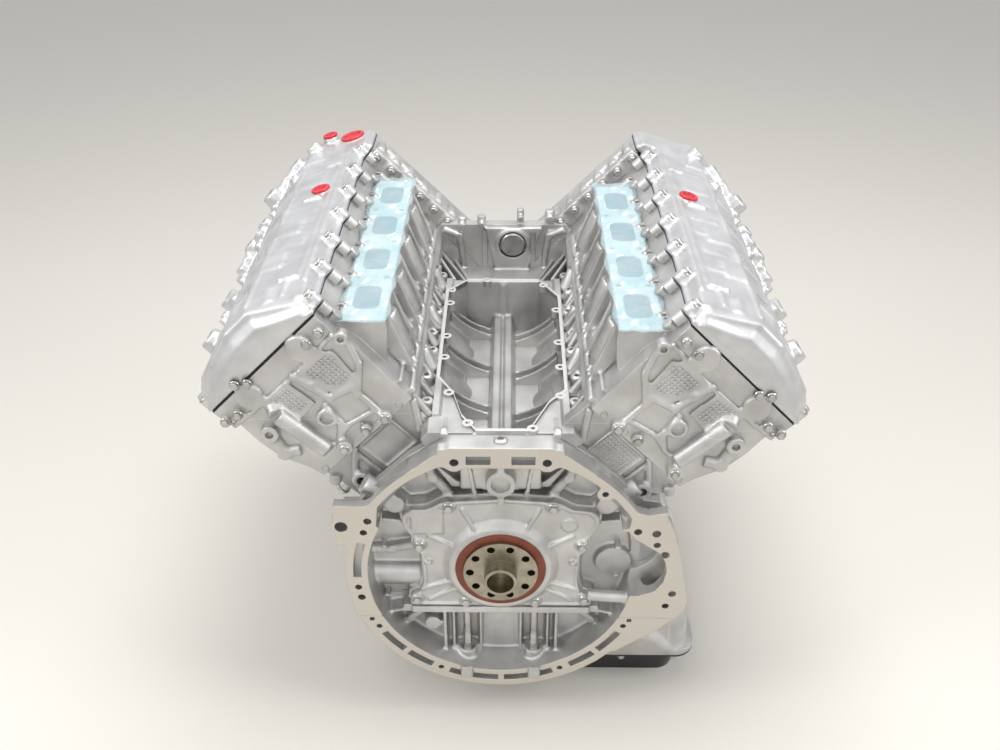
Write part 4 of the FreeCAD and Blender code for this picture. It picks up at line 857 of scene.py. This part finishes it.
# Timing case edges: scalloped flange of bolt bosses where the cast aluminium case meets the block and the heads.
# The bosses are cast with the case, and the case is bolted on through them.
for side in SIDES:
    y = 560 if side == "right" else 541
    solids = [block((-116, -84), (y - 5, y + 5), (205, 392))]
    for i in range(6):
        solids.append(pin(-106, 232 + 30 * i, y - 7, y + 20, 11))
        solids.append(pin(-112, 232 + 30 * i, y + 6, y + 40, 9, 7))
    solids += chain_rod([(-100, y + 16, 250), (-112, y + 20, 300), (-112, y + 30, 380)], 7)
    finish(casting("timing_flange_" + side, all_on_bank(solids, side), voxel=1.8, rounds=2), cast_skin)


# Cam covers: pressure-cast aluminium lids with a satin skin, rounded ends, a sloping inner shoulder, raised panels,
# coil wells and bolt ears. The left lid carries a filler neck, and both have capped ports on the shoulder.
REAR = 32.0
COVER_BASE = 396.6
COVER_FRONT = {"right": 620, "left": 601}
COVER_WALL = 6
EAR_X = 100.3
EARS = [54 + 80 * i for i in range(7)]
cover_crown = [(94, COVER_BASE), (94, 411), (87, 425), (58, 438), (6, 452), (-34, 452)]
cover_profile = cover_crown + [(-94, 418), (-94, COVER_BASE)]
cover_end = [(88, COVER_BASE), (88, 402), (78, 410), (54, 420), (6, 430), (-34, 430), (-86, 408), (-88, COVER_BASE)]
cover_wide = cover_crown + [(-112, 410), (-112, COVER_BASE)]
SHOULDER = Vector((-0.493, 0, 0.87))
cap_places = {"left": ((-90, 574, 421, 15, 4), (-58, 588, 439, 8, 10), (-71, 376, 431, 10, 4)),
              "right": ((-71, 374, 431, 10, 4),)}


shoulder_pads = ((-60, -30, 146, 190, 3.5), (-66, -34, 244, 284, 3.5), (-76, -50, 349, 358, 6),
                 (-86, -60, 102, 111, 6), (-80, -40, 306, 322, 2.5), (-72, -36, 404, 448, 3),
                 (-88, -64, 470, 479, 5), (-76, -44, 206, 226, 2.5), (-60, -34, 508, 552, 3.5))


def shoulder_up(x):
    """Height of the lid's sloping inner shoulder."""
    return 452 + (x + 34) * 34 / 60


def smaller(profile, inset):
    """Profile drawn in by a wall."""
    return [(x * (1 - inset / 94), max(COVER_BASE - 6, up - inset)) for x, up in profile]


cover_skin, tree, surface = shader("cover_skin", (0.72, 0.72, 0.72), 0.8, 0.4)
grain(tree, surface, 1500, 0.0003, 30, (0.56, 0.56, 0.565), (0.69, 0.69, 0.695), 0.0012, (0.34, 0.46))
for side in SIDES:
    front = COVER_FRONT[side]
    face = front - 60
    wide_end = [(x * 0.96, COVER_BASE if up < 400 else up - 6) for x, up in cover_wide]
    solids = [prism_y(cover_end, REAR, REAR + 16, cover_profile), prism_y(cover_profile, REAR + 16, front - 8),
              prism_y(cover_profile, front - 8, front, cover_end), prism_y(cover_wide, face - 4, front - 6),
              prism_y(cover_wide, front - 6, front, wide_end),
              block((-98, 98), (REAR - 0.5, front), (COVER_BASE, 403)),
              block((-115, 0), (face - 4, front), (COVER_BASE, 403))]
    for x, y in [(x, y) for x in (-EAR_X, EAR_X) for y in EARS]:
        solids += [rod((x, y, COVER_BASE), (x, y, 411.8), 8.5), rod((x, y, 404), (x * 0.82, y, 418), 8, 9)]
    for y in BORES:
        solids += [rod((62, y, 418), (66, y, 449), 18, 14), rod((38, y + 22, 430), (38, y + 22, 452), 9, 7)]
        solids.append(prism_y([(-36, 440), (-30, 455.5), (2, 455.5), (10, 440)], y - 17, y + 17))
        solids.append(prism_y([(8, 446), (10, 454), (52, 443), (52, 430)], y + 34, y + 38))
        solids.append(rod((20, y - 20, 440), (20, y - 20, 457), 6.5, 5.5))
        solids.append(prism_y([(-90, 414), (-86, 425), (-42, 450), (-38, 440)], y + 42, y + 47))
    solids += [prism_y([(-38, 444), (-34, 455), (-30, 455), (-28, 444)], 56, front - 14),
               prism_y([(4, 444), (6, 455), (10, 454), (12, 444)], 56, front - 14),
               prism_y([(74, 424), (84, 431), (90, 426), (90, 414)], 60, front - 20)]
    for x, y, up, radius in ((40, 500, 466, 15), (-5, 545, 464, 14), (-40, 560, 462, 12), (35, 318, 462, 11),
                             (60, 300, 452, 11), (53, 262, 450, 8), (50, 204, 447, 8), (16, 430, 460, 10),
                             (70, 470, 448, 12), (-12, 484, 460, 8)):
        solids.append(rod((x, y, up - 40), (x, y, up), radius + 3, radius))
    for low, high, start, end, rise in shoulder_pads:
        solids.append(prism_y([(low, shoulder_up(low) - 6), (low + 3, shoulder_up(low + 3) + rise),
                               (high - 3, shoulder_up(high - 3) + rise), (high, shoulder_up(high) - 6)], start, end))
    for x, start, end in ((-90, 92, face - 8), (-82, 120, face - 30), (-70, 62, 98)):
        solids.append(rod((x, start, shoulder_up(x) - 0.5), (x, end, shoulder_up(x) - 0.5), 3))
    solids += [rod((-52, 56, 430), (-50, 92, 438), 14, 8), rod((-4, 52, 436), (-4, 88, 446), 16, 10),
               rod((48, 50, 420), (50, 88, 430), 15, 9)]
    solids += chain_rod([(-88, 44, 415), (-34, 46, 447), (6, 46, 447), (56, 44, 432)], 4)
    solids += chain_rod([(40, 500, 452), (10, 520, 456), (-5, 545, 456)], 8)
    solids += chain_rod([(35, 318, 452), (48, 306, 448), (62, 300, 442)], 8)
    for x, y, up, radius, neck in cap_places[side]:
        foot = Vector((x, y, up)) - SHOULDER * 14
        solids.append(rod(tuple(foot), tuple(Vector((x, y, up)) + SHOULDER * neck), radius + 7, radius + 4))
    hollow = [prism_y(smaller(cover_profile, COVER_WALL), REAR + 24, front - 12),
              prism_y([(86, 390), (86, 398), (70, 404), (-70, 404), (-86, 398), (-86, 390)], REAR + 8, REAR + 26)]
    drilled = []
    for y in BORES:
        drilled += [rod((62, y, 436), (67, y, 460), 9), block((-26, -4), (y - 12, y + 12), (453, 460)),
                    rod((20, y - 20, 450), (20, y - 20, 462), 2.6, sides=12)]
    drilled += [rod((x, y, up - 12), (x, y, up + 6), radius) for x, y, up, radius in
                ((40, 500, 466, 8), (-5, 545, 464, 7), (35, 318, 462, 6), (16, 430, 460, 5), (70, 470, 448, 6))]
    rear_cut = block((-600, 600), (-20, REAR + SHIFT[side]), (100, 500))
    cover = casting("cam_cover_casting_" + side, all_on_bank(solids, side), all_on_bank(hollow, side),
                    milled=[rear_cut] + all_on_bank(drilled, side), voxel=2.1, rounds=4, keep=0.45)
    finish(cover, cover_skin, "cam_cover_" + side)
    seats = [bank_point(side, x, y, 411.5) for x in (-EAR_X, EAR_X) for y in EARS]
    finish(bolts("cover_bolts_" + side, seats, (SIGN[side] * HALF, 0, HALF), 10, 6, 8), bolt_steel,
           *(["cam_cover_bolts"] if side == "right" else []))


# Shipping caps: red moulded plastic discs with a thick lip and a dished middle, pushed by hand into each open
# port of the cam covers to keep dirt out until the engine is fitted.
CAP_STEPS = 48
cap_red, tree, surface = shader("red_cap_plastic", (0.62, 0.02, 0.035), 0.0, 0.35)
grain(tree, surface, 700, 0.0001, 40, (0.52, 0.012, 0.025), (0.68, 0.03, 0.045), 0.0005, (0.3, 0.42))
caps = []
for side in SIDES:
    for x, y, up, radius, neck in cap_places[side]:
        seat = Vector((x, y, up)) + SHOULDER * (neck - 1)
        turn = SHOULDER.to_track_quat("Z", "Y")
        points = []
        for size, rise in ((radius + 3.5, -0.5), (radius + 3.5, 2.5), (radius + 2.5, 3.6), (radius - 1, 3.6),
                           (radius - 2.5, 1.2)):
            circle = arc(size, 0, 360 - 360 / CAP_STEPS, CAP_STEPS - 1)
            points += [tuple(seat + turn @ Vector((a, b, rise))) for a, b in circle]
        faces = [list(range(CAP_STEPS)), list(range(5 * CAP_STEPS - 1, 4 * CAP_STEPS - 1, -1))]
        for low in range(0, 4 * CAP_STEPS, CAP_STEPS):
            for i in range(CAP_STEPS):
                after = (i + 1) % CAP_STEPS
                faces.append([low + i, low + after, low + CAP_STEPS + after, low + CAP_STEPS + i])
        caps.append(on_bank((points, faces), side))
red_caps = build("shipping_caps", caps)
red_caps.data.shade_smooth()
red_caps.data.set_sharp_from_angle(angle=math.radians(40))
finish(red_caps, cap_red, "red_caps")


# Port film: thin clear blue sheet laid over each intake gasket for shipping, a little slack and wavy, so the
# printed gasket and its four waisted ports show through.
FLANGE_Z = 326.7
PORT_X = 162.3
FILM_START = 50
FILM_END = 496
FILM_WIDTH = 60
FILM_THICKNESS = 0.25
FILM_ROWS = 60
FILM_COLUMNS = 10
film, tree, surface = shader("port_film", (0.50, 0.72, 0.78), 0.0, 0.22)
surface.inputs["Alpha"].default_value = 0.34
grain(tree, surface, 60, 0.0012, 25, (0.52, 0.74, 0.80), (0.74, 0.87, 0.90), 0, (0.15, 0.35))
gasket_sheet, tree, surface = shader("intake_gasket_sheet", (0.8, 0.85, 0.86), 0.0, 0.5)
grain(tree, surface, 1200, 0.0001, 50, (0.70, 0.78, 0.80), (0.86, 0.90, 0.90), 0, (0.4, 0.55))
port_dark, tree, surface = shader("port_shadow", (0.10, 0.16, 0.20), 0.1, 0.5)
grain(tree, surface, 800, 0.0002, 60, (0.14, 0.21, 0.27), (0.26, 0.35, 0.41), 0, (0.4, 0.6))


def waist(middle_x, middle_y, length, width):
    """Port window with round ends and a slight waist."""
    points = []
    for i in range(40):
        t = 2 * math.pi * i / 40
        reach = abs(math.cos(t)) ** 0.6 * (1 if math.cos(t) > 0 else -1)
        wide = width * (0.84 + 0.16 * abs(reach) ** 2) * abs(math.sin(t)) ** 0.6 * (1 if math.sin(t) > 0 else -1)
        points.append((middle_x + wide / 2, middle_y + reach * length / 2))
    return points


for side in SIDES:
    sign = SIGN[side]
    shift = SHIFT[side]
    middle = sign * PORT_X
    sheet = build("intake_gasket_print_" + side,
                  [block((middle - 26, middle + 26), (57 + shift, 484 + shift), (FLANGE_Z, FLANGE_Z + 1.3))])
    combine(sheet, [prism_z(waist(middle, y + shift, 60, 38), FLANGE_Z - 2, FLANGE_Z + 3) for y in BORES])
    combine(sheet, [rod((middle + x, y + shift + 52.7, FLANGE_Z - 2), (middle + x, y + shift + 52.7, FLANGE_Z + 3),
                        4, sides=16) for y in BORES[:3] for x in (-18, 18)])
    finish(sheet, gasket_sheet, "intake_gasket_" + side)
    wells = [prism_z(waist(middle, y + shift, 61, 39), FLANGE_Z - 0.3, FLANGE_Z + 0.25) for y in BORES]
    finish(build("intake_port_wells_" + side, wells), port_dark)
    points = []
    faces = []
    for layer in range(2):
        for i in range(FILM_ROWS + 1):
            for j in range(FILM_COLUMNS + 1):
                edge = 1 if j in (0, FILM_COLUMNS) else 0
                y = FILM_START + (FILM_END - FILM_START) * i / FILM_ROWS + 1.5 * math.sin(j * 2.1 + sign)
                x = middle + (j / FILM_COLUMNS - 0.5) * FILM_WIDTH + edge * 2.0 * math.sin(i * 0.7 + sign)
                rise = 1.9 + 0.7 * math.sin(i * 0.55 + j * 0.8) + 0.5 * math.sin(i * 1.3 - j * 1.7 + sign)
                points.append((x, y + shift, FLANGE_Z + rise + FILM_THICKNESS * layer))
    row = FILM_COLUMNS + 1
    layer_size = row * (FILM_ROWS + 1)
    for i in range(FILM_ROWS):
        for j in range(FILM_COLUMNS):
            a = i * row + j
            faces.append([a, a + row, a + row + 1, a + 1])
            faces.append([layer_size + a, layer_size + a + 1, layer_size + a + row + 1, layer_size + a + row])
    border = list(range(row)) + [i * row + row - 1 for i in range(1, FILM_ROWS + 1)]
    border += [FILM_ROWS * row + j for j in range(row - 2, -1, -1)] + [i * row for i in range(FILM_ROWS - 1, 0, -1)]
    for a, b in zip(border, border[1:] + border[:1]):
        faces.append([a, b, b + layer_size, a + layer_size])
    sheet = build("port_film_sheet_" + side, [(points, faces)])
    sheet.data.shade_smooth()
    finish(sheet, film, "intake_film_" + side)


# Outer sides of the block and the front of the timing case: stiffening ribs over each main bearing, mounting
# bosses, and webs that run out from the crankshaft's seal to the flanges. All of it is cast with its wall.
MAINS = [FIRST_BORE + (BANK_SHIFT - BORE_PITCH) / 2 + BORE_PITCH * i for i in range(5)]
MOUNTS = (150, 205, 330, 385)
ribs = []
for s in (-1, 1):
    for y in MAINS:
        outline = [(s * 146, -66), (s * 157, -58), (s * 157, 14), (s * 126, 84), (s * 114, 78)]
        ribs.append(prism_y(outline, y - 3, y + 3))
    ribs += [rod((s * 140, y, -20), (s * 160, y, -20), 13, 11) for y in MOUNTS]
    ribs += [block((min(s * 146, s * 155), max(s * 146, s * 155)), (34, 556), (z, z + 6)) for z in (-70, -34, 14)]
side_holes = [rod((s * 150, y, -20), (s * 164, y, -20), 5) for s in (-1, 1) for y in MOUNTS]
for side in SIDES:
    for y in BORES:
        for gap in (-44, 0, 44):
            ribs.append(on_bank(rod((72, y + gap, 112), (73, y + gap, 236), 5), side))
        ribs.append(on_bank(rod((68, y, 170), (79, y, 170), 18, 16), side))
    ribs.append(on_bank(block((68, 78), (50, 540), (228, 236)), side))
finish(casting("block_side_ribs", ribs, milled=side_holes, voxel=2.2, rounds=2, keep=0.4), cast_skin)

webs = [pin(0, 0, 612, 627, 62, 56)]
for s in (-1, 1):
    webs += [rod((s * 40, 619, z1), (s * 144, 619, z2), 4) for z1, z2 in ((-24, -74), (0, 0), (30, 60))]
    webs += [rod((s * 146, 619, -76), (s * 146, 619, 86), 6), rod((s * 20, 619, -50), (s * 60, 619, -78), 4)]
webs += [rod((-146, 619, -76), (146, 619, -76), 6)]
for side in SIDES:
    front = COVER_FRONT[side]
    case = [rod((x, front - 1, 100), (x, front - 1, 388), 5) for x in (-106, 88)]
    case += [rod((-106, front - 1, up), (88, front - 1, up), 4) for up in (176, 236, 296, 388)]
    case += [pin(x, 352, front - 6, front + 6, 34, 30) for x in (-50, 44)]
    case += [rod((-40, front - 1, 120), (-40, front - 1, 330), 4), rod((30, front - 1, 120), (30, front - 1, 330), 4)]
    case += [rod((-70, front - 1, 180), (60, front - 1, 292), 4), pin(-6, 206, front - 6, front + 5, 14, 12)]
    webs += all_on_bank(case, side)
finish(casting("timing_case_webs", webs, milled=[pin(0, 0, 600, 640, 31, sides=48)], voxel=2.2, rounds=2,
               keep=0.4), cast_skin)


# Inner and lower parts, each in the finish of its own trade: forged steel crankshaft, iron liners and caps,
# moulded rubber seals, black painted sump, nylon chain guides, hardened chains and camshafts, aluminium pistons.
def dress(name, material):
    """Give a solid from the frame its finish."""
    nodes[name].data.materials.clear()
    nodes[name].data.materials.append(material)


for node in ("timing_cover", "oil_pump"):
    dress(node, cast_skin)
for side in SIDES:
    for node in ("head_", "cam_housing_", "cam_bearing_caps_"):
        dress(node + side, cast_skin)


def trade_finish(name, metal, rough, low, high, scale=600, blotch=40, height=0.0002, edge=0.0008):
    """Finish of one trade: fine grain, patches between two colours and a soft edge."""
    material, tree, surface = shader(name, high, metal, rough)
    grain(tree, surface, scale, height, blotch, low, high, edge, (rough - 0.06, rough + 0.08))
    return material


finishes = {
    "cylinder_liners": trade_finish("liner_iron", 0.9, 0.4, (0.16, 0.16, 0.16), (0.30, 0.30, 0.30)),
    "main_bearing_caps": trade_finish("cap_iron", 0.8, 0.5, (0.14, 0.14, 0.14), (0.28, 0.28, 0.27), 300),
    "main_bearing_shells": trade_finish("bearing_metal", 1.0, 0.3, (0.52, 0.50, 0.47), (0.64, 0.62, 0.59)),
    "crankshaft": trade_finish("crank_steel", 1.0, 0.30, (0.27, 0.245, 0.19), (0.42, 0.385, 0.31), 1200, 70, 0.00008),
    "rear_main_seal": trade_finish("seal_rubber", 0.0, 0.42, (0.17, 0.030, 0.014), (0.27, 0.060, 0.030), 900, 60),
    "front_crank_seal": trade_finish("front_seal_rubber", 0.0, 0.4, (0.03, 0.012, 0.012), (0.07, 0.03, 0.03), 900),
    "oil_sump": trade_finish("sump_paint", 0.1, 0.32, (0.010, 0.010, 0.011), (0.030, 0.030, 0.032), 500, 20, 0.0003),
    "chain_guides": trade_finish("guide_nylon", 0.0, 0.5, (0.03, 0.03, 0.03), (0.07, 0.07, 0.07)),
}
for node, material in finishes.items():
    dress(node, material)
for node in ("main_cap_bolts", "sump_bolts", "timing_cover_bolts", "drain_plug", "core_plugs", "coolant_pipe",
             "crank_sprocket"):
    dress(node, bolt_steel)
joint_rubber = trade_finish("joint_rubber", 0.0, 0.5, (0.006, 0.006, 0.006), (0.02, 0.02, 0.02))
layered_steel = trade_finish("layered_steel", 0.9, 0.35, (0.34, 0.34, 0.33), (0.50, 0.50, 0.49))
hard_steel = trade_finish("hardened_steel", 1.0, 0.28, (0.30, 0.29, 0.27), (0.46, 0.45, 0.43), 1500, 60, 0.00008)
alloy = trade_finish("piston_alloy", 1.0, 0.3, (0.52, 0.52, 0.52), (0.68, 0.68, 0.68), 1800, 50, 0.00008)
for side in SIDES:
    dress("cam_cover_gasket_" + side, joint_rubber)
    dress("head_gasket_" + side, layered_steel)
    for node in ("intake_camshaft_", "exhaust_camshaft_", "intake_sprocket_", "exhaust_sprocket_", "primary_chain_",
                 "secondary_chain_"):
        dress(node + side, hard_steel)
    for index in range(1, 5):
        dress("piston_%s_%d" % (side, index), alloy)

low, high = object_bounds()
